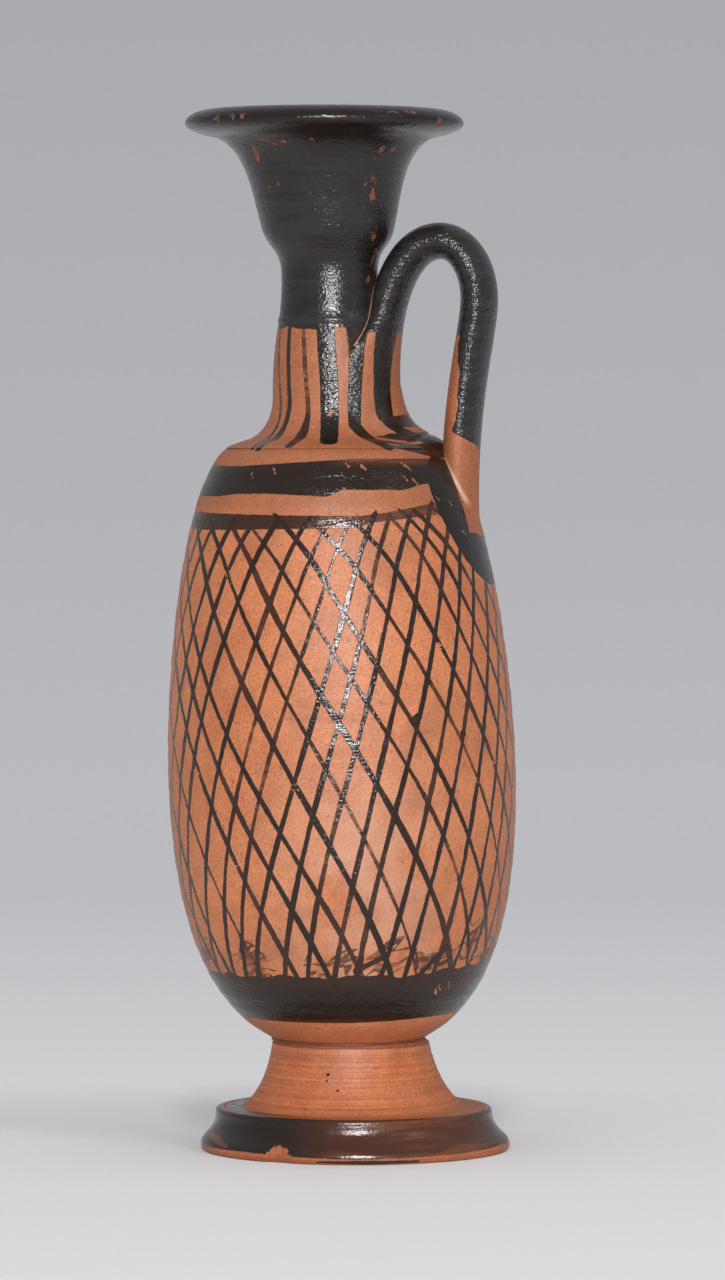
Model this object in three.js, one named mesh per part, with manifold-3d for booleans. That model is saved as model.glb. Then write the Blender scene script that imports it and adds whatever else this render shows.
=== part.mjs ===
// Lekythos: an oil jar of fired clay. Foot, body, neck and mouth are thrown on the wheel, the strap
// handle is pulled, and luting clay joins them before the firing.
// Millimetres, +Z up. The origin lies on the table, straight below the middle of the widest ring.

import * as THREE from 'three';
import { mergeVertices } from 'three/addons/utils/BufferGeometryUtils.js';
import Module from 'manifold-3d';

// Seams: thickness of the luting clay, how far it is squeezed out, and the clearance round the handle
const LUTE = 0.4;
const LUTE_BEAD = 0.2;
const GAP = 0.3;

// Foot: a disc with a hollowed rim and a flaring stem, hollow underneath
const FOOT_HEIGHT = 19;
const FOOT_RADIUS = 26.8;
const FOOT_EDGE = 1.2;
const REST_WIDTH = 5.1;
const DISC_RADIUS = 24;
const DISC_HEIGHT = 7.4;
const DISC_ROUND = 0.9;
const RIM_LOW_PULL = 1.5;
const RIM_HIGH_PULL = 3.2;
const STEM_ROOT_RADIUS = 19.4;
const STEM_RADIUS = 13.6;
const STEM_FLARE = 1.4;
const STEM_PULL = 8;
const STEM_CHAMFER = 0.4;
const HOLLOW_DEPTH = 12.5;
const HOLLOW_RADIUS = 9;

// Body: an ovoid wall on a small flat base, with a level shoulder round its opening
const BODY_HEIGHT = 102.9;
const BODY_BASE_RADIUS = 13.2;
const BODY_SPREAD = 6.3;
const BODY_LIFT = 3.4;
const BELLY_RADIUS = 30.2;
const BELLY_RISE = 46.6;
const BELLY_LOWER_PULL = 35.5;
const BELLY_UPPER_PULL = 17.4;
const SHOULDER_RADIUS = 16.4;
const SHOULDER_PULL = 9.6;
const SHOULDER_BORE = 6.5;
const BODY_WALL = 3.2;
const BODY_FLOOR = 5;

// Neck: a collar that flares at its foot
const NECK_HEIGHT = 20.7;
const NECK_FOOT_RADIUS = 16;
const NECK_RADIUS = 10.45;
const NECK_TOP_RADIUS = 9.05;
const NECK_FLARE_HEIGHT = 8.1;
const NECK_FLARE_PULL = 7.3;
const NECK_TAPER_PULL = 4.9;
const NECK_TAPER_SWELL = 1.2;
const BORE_RADIUS = 5;

// Mouth: a waisted upper neck that opens into a funnel under a thick rolled lip
const MOUTH_HEIGHT = 36.2;
const WAIST_RADIUS = 8.35;
const WAIST_RISE = 8.2;
const WAIST_PULL = 4;
const CUP_RADIUS = 11.5;
const CUP_RISE = 15.8;
const CUP_TUCK = 0.7;
const CUP_PULL = 3.3;
const CUP_SPREAD = 1.4;
const CUP_LIFT = 5.8;
const LIP_ROOT_RADIUS = 18.8;
const LIP_ROOT_DROP = 4.75;
const LIP_ROOT_SPREAD = 5.2;
const LIP_ROOT_PULL = 2.2;
const LIP_RADIUS = 24.1;
const LIP_DROP = 2.35;
const LIP_UNDER_PULL = 1.4;
const LIP_TOP_PULL = 1.2;
const LIP_CREST_RADIUS = 19.6;
const LIP_CREST_PULL = 2.5;
const FUNNEL_RADIUS = 14.6;
const FUNNEL_DROP = 4.8;
const FUNNEL_PULL = 4;
const FUNNEL_SPREAD = 5;
const THROAT_RISE = 12.7;

// Handle: a strap of oval section, spread round the neck at its root, that arches over to the shoulder
const HANDLE_WIDTH = 11;
const HANDLE_THICKNESS = 6.3;
const HANDLE_BITE = 1.05;
const HANDLE_ROOT_RISE = 1.3;
const HANDLE_ROOT_TUCK = 2.6;
const HANDLE_ROOT_PULL = 16;
const HANDLE_APEX_OUT = 19.6;
const HANDLE_APEX_RISE = 13.5;
const HANDLE_APEX_BACK = 8.6;
const HANDLE_APEX_FORE = 3.6;
const HANDLE_REACH = 26.2;
const HANDLE_REACH_RISE = 3.7;
const HANDLE_REACH_UP = 5.7;
const HANDLE_REACH_DOWN = 6;
const HANDLE_FOOT_SINK = 3.65;
const HANDLE_FOOT_DROP = 16.9;
const HANDLE_FOOT_PULL = 23.1;
const HANDLE_FOOT_BEND = 0.7;
const ROOT_SPREAD = 9;
const ROOT_SPREAD_RISE = 2.7;
const ROOT_SPREAD_HEIGHT = 10;

// Luting of the handle: a pad smeared from its root down the neck's flare, and a collar round its lower end
const PAD_STAND = 2.4;
const PAD_DEPTH = 4.2;
const PAD_WIDTH = 21;
const PAD_LENGTH = 14.4;
const PAD_RISE = 1.5;
const PAD_SLOPE = THREE.MathUtils.degToRad(45);
const COLLAR_WIDTH = 2.4;
const COLLAR_HEIGHT = 1;

// Lean of the thrown sections to -X, as sideways travel for each unit of height
const FOOT_LEAN = 0.046;
const BODY_LEAN = 0.0242;
const MOUTH_LEAN = 0.036;
const BODY_OFFSET = 0.41;

// Facets
const TURN_STEPS = 40;
const CURVE_STEPS = 6;
const HANDLE_STEPS = 32;
const HANDLE_SIDES = 9;
const PAD_SIDES = 20;
const PAD_ROWS = 12;

// Levels of the seams
const bodyBase = FOOT_HEIGHT + LUTE;
const belly = bodyBase + BELLY_RISE;
const shoulder = bodyBase + BODY_HEIGHT;
const neckBase = shoulder + LUTE;
const neckTop = neckBase + NECK_HEIGHT;
const mouthBase = neckTop + LUTE;
const mouthTop = mouthBase + MOUTH_HEIGHT;

const clay = { color: 0xc47a55, roughness: 0.62, metalness: 0 };
const gloss = { color: 0x2b2827, roughness: 0.32, metalness: 0 };
const slip = { color: 0xcd9270, roughness: 0.7, metalness: 0 };

const wasm = await Module();
wasm.setup();

// A thrown form: the outline turned about the wheel's axis
function turn(outline) {
  const geometry = new THREE.LatheGeometry(outline, TURN_STEPS);
  geometry.rotateX(Math.PI / 2);
  return geometry;
}

// Slides every level sideways so that the axis leans, and passes through x at the given height
function lean(geometry, slope, height, x) {
  geometry.applyMatrix4(new THREE.Matrix4().makeShear(0, 0, 0, 0, -slope, 0));
  geometry.translate(x + slope * height, 0, 0);
  return geometry;
}

function leanFoot(geometry) {
  return lean(geometry, FOOT_LEAN, FOOT_HEIGHT, BODY_LEAN * BELLY_RISE + BODY_OFFSET);
}

function leanBody(geometry) {
  return lean(geometry, BODY_LEAN, belly, 0);
}

function leanMouth(geometry) {
  return lean(geometry, MOUTH_LEAN, mouthBase, BODY_LEAN * (belly - mouthBase));
}

// Moves each point of an outline outwards, square to the line through its neighbours
function swell(outline, distance) {
  return outline.map((point, index) => {
    const before = outline[Math.max(index - 1, 0)];
    const after = outline[Math.min(index + 1, outline.length - 1)];
    const along = after.clone().sub(before).normalize();
    const moved = new THREE.Vector2(point.x + along.y * distance, point.y - along.x * distance);
    return point.x === 0 ? new THREE.Vector2(0, moved.y) : moved;
  });
}

function toSolid(geometry) {
  const bare = geometry.clone();
  bare.deleteAttribute('normal');
  bare.deleteAttribute('uv');
  const merged = mergeVertices(bare);
  const index = Array.from(merged.index.array);
  const triangles = [];
  for (let start = 0; start < index.length; start += 3) {
    const [a, b, c] = index.slice(start, start + 3);
    if (a !== b && b !== c && c !== a) triangles.push(a, b, c);
  }
  return new wasm.Manifold(new wasm.Mesh({
    numProp: 3,
    vertProperties: new Float32Array(merged.attributes.position.array),
    triVerts: new Uint32Array(triangles),
  }));
}

function toGeometry(solid) {
  const mesh = solid.getMesh();
  const geometry = new THREE.BufferGeometry();
  geometry.setAttribute('position', new THREE.BufferAttribute(mesh.vertProperties, 3));
  geometry.setIndex(new THREE.BufferAttribute(mesh.triVerts, 1));
  geometry.computeVertexNormals();
  return geometry;
}

function footOutline() {
  const rest = FOOT_RADIUS - FOOT_EDGE;
  const side = DISC_HEIGHT - DISC_ROUND;
  const path = new THREE.Path();
  path.moveTo(0, HOLLOW_DEPTH);
  path.bezierCurveTo(HOLLOW_RADIUS, HOLLOW_DEPTH, HOLLOW_RADIUS, HOLLOW_DEPTH, rest - REST_WIDTH, 0);
  path.lineTo(rest, 0);
  path.quadraticCurveTo(FOOT_RADIUS, 0, FOOT_RADIUS, FOOT_EDGE);
  path.bezierCurveTo(
    FOOT_RADIUS, FOOT_EDGE + RIM_LOW_PULL,
    DISC_RADIUS, side - RIM_HIGH_PULL,
    DISC_RADIUS, side);
  path.quadraticCurveTo(DISC_RADIUS, DISC_HEIGHT, DISC_RADIUS - DISC_ROUND, DISC_HEIGHT);
  path.lineTo(STEM_ROOT_RADIUS, DISC_HEIGHT);
  path.quadraticCurveTo(
    STEM_RADIUS + STEM_FLARE, FOOT_HEIGHT - STEM_CHAMFER - STEM_PULL,
    STEM_RADIUS, FOOT_HEIGHT - STEM_CHAMFER);
  path.lineTo(STEM_RADIUS - STEM_CHAMFER, FOOT_HEIGHT);
  path.lineTo(0, FOOT_HEIGHT);
  return path.getPoints(CURVE_STEPS);
}

function drawBodyOutside() {
  const path = new THREE.Path();
  path.moveTo(0, bodyBase);
  path.lineTo(BODY_BASE_RADIUS, bodyBase);
  path.bezierCurveTo(
    BODY_BASE_RADIUS + BODY_SPREAD, bodyBase + BODY_LIFT,
    BELLY_RADIUS, belly - BELLY_LOWER_PULL,
    BELLY_RADIUS, belly);
  path.bezierCurveTo(
    BELLY_RADIUS, belly + BELLY_UPPER_PULL,
    SHOULDER_RADIUS + SHOULDER_PULL, shoulder,
    SHOULDER_RADIUS, shoulder);
  return path;
}

// The inside follows the outside at the wall's thickness, down to a flat floor
function bodyOutline() {
  const roof = shoulder - BODY_WALL;
  const floor = bodyBase + BODY_FLOOR;
  const inside = BELLY_RADIUS - BODY_WALL;
  const path = drawBodyOutside();
  path.lineTo(SHOULDER_BORE, shoulder);
  path.lineTo(SHOULDER_BORE, roof);
  path.lineTo(SHOULDER_RADIUS, roof);
  path.bezierCurveTo(
    SHOULDER_RADIUS + SHOULDER_PULL - BODY_WALL, roof,
    inside, belly + BELLY_UPPER_PULL,
    inside, belly);
  path.bezierCurveTo(
    inside, belly - BELLY_LOWER_PULL,
    BODY_BASE_RADIUS + BODY_SPREAD - BODY_WALL, floor,
    BODY_BASE_RADIUS - BODY_WALL, floor);
  path.lineTo(0, floor);
  return path.getPoints(CURVE_STEPS);
}

function bodyFilledOutline() {
  const path = drawBodyOutside();
  path.lineTo(0, shoulder);
  return path.getPoints(CURVE_STEPS);
}

// A ring round a straight bore, or a filled form where the core is 0
function closeOnCore(path, core, top, base) {
  path.lineTo(core, top);
  if (core > 0) path.lineTo(core, base);
  return path.getPoints(CURVE_STEPS);
}

function neckOutline(core) {
  const flare = neckBase + NECK_FLARE_HEIGHT;
  const path = new THREE.Path();
  path.moveTo(core, neckBase);
  path.lineTo(NECK_FOOT_RADIUS, neckBase);
  path.bezierCurveTo(
    NECK_FOOT_RADIUS, neckBase,
    NECK_RADIUS, flare - NECK_FLARE_PULL,
    NECK_RADIUS, flare);
  path.quadraticCurveTo(
    NECK_TOP_RADIUS + NECK_TAPER_SWELL, neckTop - NECK_TAPER_PULL,
    NECK_TOP_RADIUS, neckTop);
  return closeOnCore(path, core, neckTop, neckBase);
}

// The outside of the mouth, from the seam on the neck to the crest of the lip
function drawMouthOutside(core) {
  const waist = mouthBase + WAIST_RISE;
  const cup = mouthBase + CUP_RISE;
  const lipRoot = mouthTop - LIP_ROOT_DROP;
  const lip = mouthTop - LIP_DROP;
  const path = new THREE.Path();
  path.moveTo(core, mouthBase);
  path.lineTo(NECK_TOP_RADIUS, mouthBase);
  path.quadraticCurveTo(WAIST_RADIUS, waist - WAIST_PULL, WAIST_RADIUS, waist);
  path.bezierCurveTo(
    WAIST_RADIUS, waist + WAIST_PULL,
    CUP_RADIUS - CUP_TUCK, cup - CUP_PULL,
    CUP_RADIUS, cup);
  path.bezierCurveTo(
    CUP_RADIUS + CUP_SPREAD, cup + CUP_LIFT,
    LIP_ROOT_RADIUS - LIP_ROOT_SPREAD, lipRoot - LIP_ROOT_PULL,
    LIP_ROOT_RADIUS, lipRoot);
  path.quadraticCurveTo(LIP_RADIUS, lip - LIP_UNDER_PULL, LIP_RADIUS, lip);
  path.bezierCurveTo(
    LIP_RADIUS, lip + LIP_TOP_PULL,
    LIP_CREST_RADIUS + LIP_CREST_PULL, mouthTop,
    LIP_CREST_RADIUS, mouthTop);
  return path;
}

function mouthOutline() {
  const funnel = mouthTop - FUNNEL_DROP;
  const throat = mouthBase + THROAT_RISE;
  const path = drawMouthOutside(BORE_RADIUS);
  path.quadraticCurveTo(FUNNEL_RADIUS + LIP_CREST_PULL, mouthTop, FUNNEL_RADIUS, funnel);
  path.bezierCurveTo(
    FUNNEL_RADIUS - FUNNEL_SPREAD, funnel - FUNNEL_PULL,
    BORE_RADIUS + FUNNEL_SPREAD, throat,
    BORE_RADIUS, throat);
  path.lineTo(BORE_RADIUS, mouthBase);
  return path.getPoints(CURVE_STEPS);
}

function mouthFilledOutline() {
  const path = drawMouthOutside(0);
  path.lineTo(0, mouthTop);
  return path.getPoints(CURVE_STEPS);
}

// A layer of luting clay that stands a little proud of the seam
function luteOutline(core, radius, base) {
  const path = new THREE.Path();
  path.moveTo(core, base);
  path.lineTo(radius, base);
  path.quadraticCurveTo(radius + 2 * LUTE_BEAD, base + LUTE / 2, radius, base + LUTE);
  return closeOnCore(path, core, base + LUTE, base);
}

function bodyRadiusAt(height) {
  const wall = bodyFilledOutline();
  const next = wall.findIndex((point) => point.y > height);
  const below = wall[next - 1];
  const above = wall[next];
  return THREE.MathUtils.mapLinear(height, below.y, above.y, below.x, above.x);
}

// The strap's centre line runs in the XZ plane, from inside the neck to inside the shoulder
function handlePath() {
  const footHeight = shoulder - HANDLE_FOOT_DROP;
  const root = new THREE.Vector3(NECK_RADIUS - HANDLE_BITE, 0, neckBase + HANDLE_ROOT_RISE);
  const apex = new THREE.Vector3(HANDLE_APEX_OUT, 0, mouthBase + HANDLE_APEX_RISE);
  const reach = new THREE.Vector3(HANDLE_REACH, 0, mouthBase + HANDLE_REACH_RISE);
  const foot = new THREE.Vector3(bodyRadiusAt(footHeight) - HANDLE_FOOT_SINK, 0, footHeight);
  const beside = (point, x, z) => point.clone().add(new THREE.Vector3(x, 0, z));
  const path = new THREE.CurvePath();
  path.add(new THREE.CubicBezierCurve3(
    root, beside(root, -HANDLE_ROOT_TUCK, HANDLE_ROOT_PULL), beside(apex, -HANDLE_APEX_BACK, 0), apex));
  path.add(new THREE.CubicBezierCurve3(
    apex, beside(apex, HANDLE_APEX_FORE, 0), beside(reach, 0, HANDLE_REACH_UP), reach));
  path.add(new THREE.CubicBezierCurve3(
    reach, beside(reach, 0, -HANDLE_REACH_DOWN), beside(foot, -HANDLE_FOOT_BEND, HANDLE_FOOT_PULL), foot));
  return path;
}

// Bends a point's sideways distance round the wheel's axis, by a share from 0 for flat to 1 for fully round
function bendRound(place, index, x, side, share) {
  const arc = side / NECK_RADIUS;
  place.setX(index, THREE.MathUtils.lerp(x, x * Math.cos(arc), share));
  place.setY(index, THREE.MathUtils.lerp(side, x * Math.sin(arc), share));
}

// Below the mouth the limb on the neck grows wider and hugs the neck
function spreadRoot(geometry) {
  const place = geometry.attributes.position;
  const top = mouthBase + ROOT_SPREAD_RISE;
  for (let index = 0; index < place.count; index += 1) {
    const x = place.getX(index);
    if (x < HANDLE_APEX_OUT - HANDLE_THICKNESS / 2) {
      const share = THREE.MathUtils.smoothstep(top - place.getZ(index), 0, ROOT_SPREAD_HEIGHT);
      const side = place.getY(index) * (1 + share * ROOT_SPREAD / HANDLE_WIDTH);
      bendRound(place, index, x, side, share);
    }
  }
  return geometry;
}

function handleStrap(clearance) {
  const section = new THREE.Shape();
  const halfWidth = HANDLE_WIDTH / 2 + clearance;
  const halfThickness = HANDLE_THICKNESS / 2 + clearance;
  section.absellipse(0, 0, halfWidth, halfThickness, 0, 2 * Math.PI);
  const geometry = new THREE.ExtrudeGeometry(section, {
    steps: HANDLE_STEPS,
    curveSegments: HANDLE_SIDES,
    extrudePath: handlePath(),
  });
  return leanBody(spreadRoot(geometry));
}

const thrownWalls = [
  leanBody(turn(swell(bodyFilledOutline(), GAP))),
  leanBody(turn(swell(luteOutline(0, NECK_FOOT_RADIUS, shoulder), GAP))),
  leanBody(turn(swell(neckOutline(0), GAP))),
  leanBody(turn(swell(luteOutline(0, NECK_TOP_RADIUS, neckTop), GAP))),
  leanMouth(turn(swell(mouthFilledOutline(), GAP))),
].map(toSolid);

function cutByWalls(solid) {
  return thrownWalls.reduce((rest, wall) => rest.subtract(wall), solid);
}

function handleGeometry() {
  return toGeometry(cutByWalls(toSolid(handleStrap(0))));
}

// A low ring of clay round the strap, wherever it sinks into the body's wall
function collar(clearance) {
  const cover = swell(bodyFilledOutline(), GAP + COLLAR_HEIGHT + clearance);
  return toSolid(handleStrap(COLLAR_WIDTH + clearance)).intersect(toSolid(leanBody(turn(cover))));
}

// A lump pressed to an egg shape, tilted down the flare and bent round the neck
function topPad() {
  const pad = new THREE.SphereGeometry(0.5, PAD_SIDES, PAD_ROWS);
  pad.rotateX(Math.PI / 2);
  pad.scale(PAD_DEPTH, PAD_WIDTH, PAD_LENGTH);
  pad.rotateY(-PAD_SLOPE);
  pad.translate(NECK_RADIUS + PAD_STAND, 0, neckBase + PAD_RISE);
  const place = pad.attributes.position;
  for (let index = 0; index < place.count; index += 1) {
    bendRound(place, index, place.getX(index), place.getY(index), 1);
  }
  return toSolid(leanBody(pad));
}

function handleLutingGeometry(solid) {
  return toGeometry(cutByWalls(solid).subtract(toSolid(handleStrap(GAP))));
}

const lekythos = new THREE.Group();

function addPiece(name, geometry, finish) {
  const mesh = new THREE.Mesh(geometry, new THREE.MeshStandardMaterial(finish));
  mesh.name = name;
  lekythos.add(mesh);
}

addPiece('foot', leanFoot(turn(footOutline())), clay);
addPiece('foot_luting', leanBody(turn(luteOutline(BORE_RADIUS, BODY_BASE_RADIUS, FOOT_HEIGHT))), slip);
addPiece('body', leanBody(turn(bodyOutline())), clay);
addPiece('neck_luting', leanBody(turn(luteOutline(SHOULDER_BORE, NECK_FOOT_RADIUS, shoulder))), slip);
addPiece('neck', leanBody(turn(neckOutline(BORE_RADIUS))), clay);
addPiece('mouth_luting', leanBody(turn(luteOutline(BORE_RADIUS, NECK_TOP_RADIUS, neckTop))), slip);
addPiece('mouth', leanMouth(turn(mouthOutline())), gloss);
addPiece('handle', handleGeometry(), gloss);
addPiece('handle_top_luting', handleLutingGeometry(topPad().subtract(collar(GAP))), slip);
addPiece('handle_base_luting', handleLutingGeometry(collar(0)), slip);

export default lekythos;
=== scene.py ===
# Lekythos: a small oil jar, thrown on the wheel, painted with black slip and fired to orange and black.
# The sections follow the potter, who joins the pieces from the foot upwards and sets the handle on last.

import math

import bmesh
import bpy
import numpy as np
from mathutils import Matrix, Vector


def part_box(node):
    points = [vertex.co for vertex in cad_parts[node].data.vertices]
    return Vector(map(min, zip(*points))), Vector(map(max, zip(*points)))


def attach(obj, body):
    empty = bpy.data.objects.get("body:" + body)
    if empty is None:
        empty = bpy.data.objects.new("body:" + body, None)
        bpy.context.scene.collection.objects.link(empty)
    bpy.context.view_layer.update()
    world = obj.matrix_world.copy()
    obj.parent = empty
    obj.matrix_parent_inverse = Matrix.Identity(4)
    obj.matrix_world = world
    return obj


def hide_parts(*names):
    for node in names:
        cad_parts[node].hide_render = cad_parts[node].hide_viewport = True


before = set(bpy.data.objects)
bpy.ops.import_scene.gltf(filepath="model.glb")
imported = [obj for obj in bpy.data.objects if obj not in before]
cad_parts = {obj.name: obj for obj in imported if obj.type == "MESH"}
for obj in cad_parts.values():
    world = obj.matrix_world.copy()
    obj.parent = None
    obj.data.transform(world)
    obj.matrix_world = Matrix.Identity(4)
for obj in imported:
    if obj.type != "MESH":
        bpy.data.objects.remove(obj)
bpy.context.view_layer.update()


# Foot
# A thick disc with a hollowed rim and a flaring stem, thrown of orange clay and hollow underneath.
# The rim is brushed with black slip, thin and brown on the right; the stem keeps its turning lines.

# Lengths are millimetres and angles degrees. Painted angles count to the right from the side that faces the
# camera, which lies at FRONT round the jar; FAR is a distance well off the paint
MM = 0.001
FRONT = -78.0
FAR = 9.0
MERGE_GAP = 0.002
SHARP_ANGLE = 50.0
LEVEL_CREEP = 1e-6
NEVER_ZERO = 1e-9

# The disc, the stem and the hollow under them
FOOT_TURNS = 320
FOOT_LEAN = 0.046
FOOT_EDGE = 1.2
REST_WIDTH = 5.1
DISC_RADIUS = 24.0
DISC_HEIGHT = 7.4
DISC_ROUND = 0.9
RIM_LOW_PULL = 1.5
RIM_HIGH_PULL = 3.2
STEM_ROOT_RADIUS = 19.4
STEM_RADIUS = 13.6
STEM_FLARE = 1.4
STEM_PULL = 8.0
STEM_CHAMFER = 0.4
HOLLOW_DEPTH = 12.5
HOLLOW_RADIUS = 9.0

# The tool's ridges as waves (size, rate, start), the flake out of the lower edge, a pale smear, painted shade
# in the groove under the body, and the stem darker towards the disc
STEM_RIDGE = 0.022
STEM_RIDGES = ((1, 7.1, 0), (1, 11.3, 1), (1, 4.3, 2))
BITE_PLACE = (-29.5, 0.3)
BITE_SIZE = (2.7, 2.5)
BITE_DEPTH = 0.9
BITE_HOLLOW = 0.7
BITE_CHIP = 2.5
SMEAR_WIDTH = 1.3
SMEAR_FADE = 0.5
SMEAR_PALENESS = 0.22
GROOVE_SHADE_WIDTH = 0.3
DISC_DARKENING = 0.35
DISC_DARKENING_LEVELS = (9.5, 7.5)

# Painted edges of the rim, as angles and what is found there: the lower edge's height, the inner edge's
# radius and the tone, from 0 for full black to 1 for thin brown
RIM_LOW = ([-100, -45, -20, 0, 40, 70, 100], [0.9, 1.5, 1.2, 1.1, 1.3, 1.6, 1.2])
RIM_INNER = ([-90, -41, -20, 3, 33, 69, 110], [18.8, 19.1, 20.9, 22.4, 23.3, 23.2, 22.8])
RIM_TONE = ([-120, -30, -8, 40, 60, 80, 120], [0.05, 0.05, 0.55, 0.72, 0.62, 0.3, 0.2])

# Strokes and spots of slip on the foot, point by point as (angle, height, width)
RIM_RUBBED = [(-80, 3.3, 0.9), (-66, 2.7, 1.6), (-56, 1.9, 0.8)]
RIM_RUBBED_FADE = (0.15, -0.35)
EDGE_WASH = [(-14, 0.5, 0.4), (4, 0.45, 0.9), (24, 0.5, 0.4)]
EDGE_WASH_TONE = 0.4
STEM_SPLASHES = [(-16, 14.2, 0.6), (-16.5, 13.2, 0.45), (-9, 11.6, 0.6), (-26.5, 8.5, 0.4), (-22, 7.9, 0.4)]

# Colours of the clay and of the slip, and what a piece has where nothing is painted
CLAY_PALE = (0.62, 0.220, 0.092)
CLAY_DEEP = (0.52, 0.164, 0.064)
FOOT_PALE = (0.58, 0.184, 0.066)
FOOT_DEEP = (0.46, 0.126, 0.042)
# The brown of real washes and of painted shade, and the pale of smears and seams and of a painted sheen
WASH_AND_SHADE_BROWN = (0.15, 0.048, 0.025)
SMEAR_AND_SHEEN_PALE = (0.66, 0.40, 0.29)
SLIP_BLACK = (0.0125, 0.0088, 0.0066)
SLIP_DULL = (0.0300, 0.0295, 0.0290)
SLIP_BROWN = (0.095, 0.029, 0.014)
POTTERY_SPECULAR = 0.4
BARE = {"ink": FAR, "tone": 0.0, "chip": FAR, "wear": 0.0, "stain": 0.0, "dull": 0.0}

# Noises of the clay and of the slip: features in a metre, on every axis or on each, and detail
CLAY_NOISES = {
    "drift": (38, 3), "mottle": (240, 4), "grain": (1500, 2), "fleck": (2600, 0), "dust": (2700, 1),
    "blotch": (110, 5), "grit": (1100, 1), "lines": ((14, 14, 2000), 3)}
SLIP_NOISES = {
    "streak": ((70, 70, 800), 3), "ragged": (650, 3), "bristle": (2400, 2), "pits": (1800, 2),
    "furrows": ((600, 600, 2200), 2)}

# Blotches, grit and flecks of the clay: their noise, the range in which they come up, strength and colour
CLAY_MARKS = [
    ("blotch", 0.5, 0.72, 0.45, (0.34, 0.125, 0.065)),
    ("grit", 0.67, 0.76, 0.55, (0.19, 0.07, 0.04)),
    ("fleck", 0.70, 0.80, 0.55, (0.16, 0.06, 0.035)),
    ("fleck", 0.26, 0.18, 0.25, (0.78, 0.50, 0.36))]

# How far each noise tints and shades the clay, shifts the slip's edges and stands out in the relief
DRIFT_TINT, MOTTLE_TINT = 1.3, 1.1
GRAIN_SHADE, DUST_SHADE = 0.30, 0.9
STAIN_EVEN = 0.5
EDGE_RAGGED, EDGE_BRISTLE = 0.26, 0.16
CHIP_RAGGED, CHIP_BRISTLE = 1.8, 1.6
WEAR_BRISTLE, WEAR_RAGGED, WEAR_STRENGTH = 0.6, 0.4, 0.24
LINES_RELIEF, MOTTLE_RELIEF, GRAIN_RELIEF = 0.06, 0.05, 0.02
FILM_RELIEF = 0.10

# Ranges in which one value brings in another: its low and high end, and what comes of it there if not 0 and 1
TINT_RANGE = (0.85, 1.55)
CLAY_ROUGHNESS = (0.25, 0.75, 0.48, 0.60)
SLIP_EDGE = (0.06, -0.06)
GAP_STREAKS = (0.42, 0.66, 0.1, 0.6)
GAP_TONES = (0.4, 1.0)
CHIP_EDGE = (-0.05, 0.06)
WEAR_EDGE = (0.83, 0.80)
BROWN_MIDDLE = (-0.05, -0.24, 0.3, 1.0)
BROWN_FRINGE = (-0.06, 0.04, 0.0, 0.5)
BROWN_STREAKS = (0.5, 0.75, 0.0, 0.08)
DULL_STREAKS = (0.3, 0.7, 0.3, 1.0)
SLIP_ROUGHNESS = (0.3, 0.7, 0.12, 0.25)
DULL_ROUGHNESS = 0.05
SLIP_LAYERS = ("Ink", "Tone", "Chip", "Wear", "Dull")


def outline(start, *stretches):
    """A profile of (radius, height) in millimetres, made of stretches that each follow a Bezier curve:
    its corner k of n is weighted by C(n, k) t^k (1 - t)^(n - k). A stretch lists its steps and corners."""
    points = [np.array([start], float)]
    for steps, *corners in stretches:
        pulls = np.array([points[-1][-1], *corners], float)
        degree = len(pulls) - 1
        t = np.linspace(0, 1, steps + 1)[1:, None]
        weights = [math.comb(degree, k) * t**k * (1 - t)**(degree - k) for k in range(degree + 1)]
        points.append(sum(weight * pull for weight, pull in zip(weights, pulls)))
    return np.concatenate(points)


def measured(profile):
    """Distance along a profile at each of its points."""
    return np.concatenate([[0], np.cumsum(np.hypot(*np.diff(profile, axis=0).T))])


def half_width(node):
    """Radius of a thrown piece in millimetres, from the depth of its box."""
    low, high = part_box(node)
    return (high.y - low.y) / 2 / MM


def base_of(node):
    """Lowest level of a piece in millimetres, from its box."""
    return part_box(node)[0].z / MM


def top_of(node):
    """Highest level of a piece in millimetres, from its box."""
    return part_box(node)[1].z / MM


def leaning(node, lean, level):
    """Sideways place of a thrown piece's axis at height z: its box's middle plus lean times (level - z)."""
    low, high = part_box(node)
    middle = (low.x + high.x) / 2 / MM
    return lambda z: middle + lean * (level - z)


def half_turn(angle):
    """An angle brought between -180 and 180 degrees."""
    return (angle + 180) % 360 - 180


def share(value, start, end):
    """How far a value has come on its way from start to end: 0 before, 1 after, and even between."""
    return np.clip((value - start) / (end - start), 0, 1)


def waves(value, *parts):
    """An uneven course: the sum of sine waves size sin(rate value + start), each a (size, rate, start)."""
    return sum(size * np.sin(rate * value + start) for size, rate, start in parts)


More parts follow.
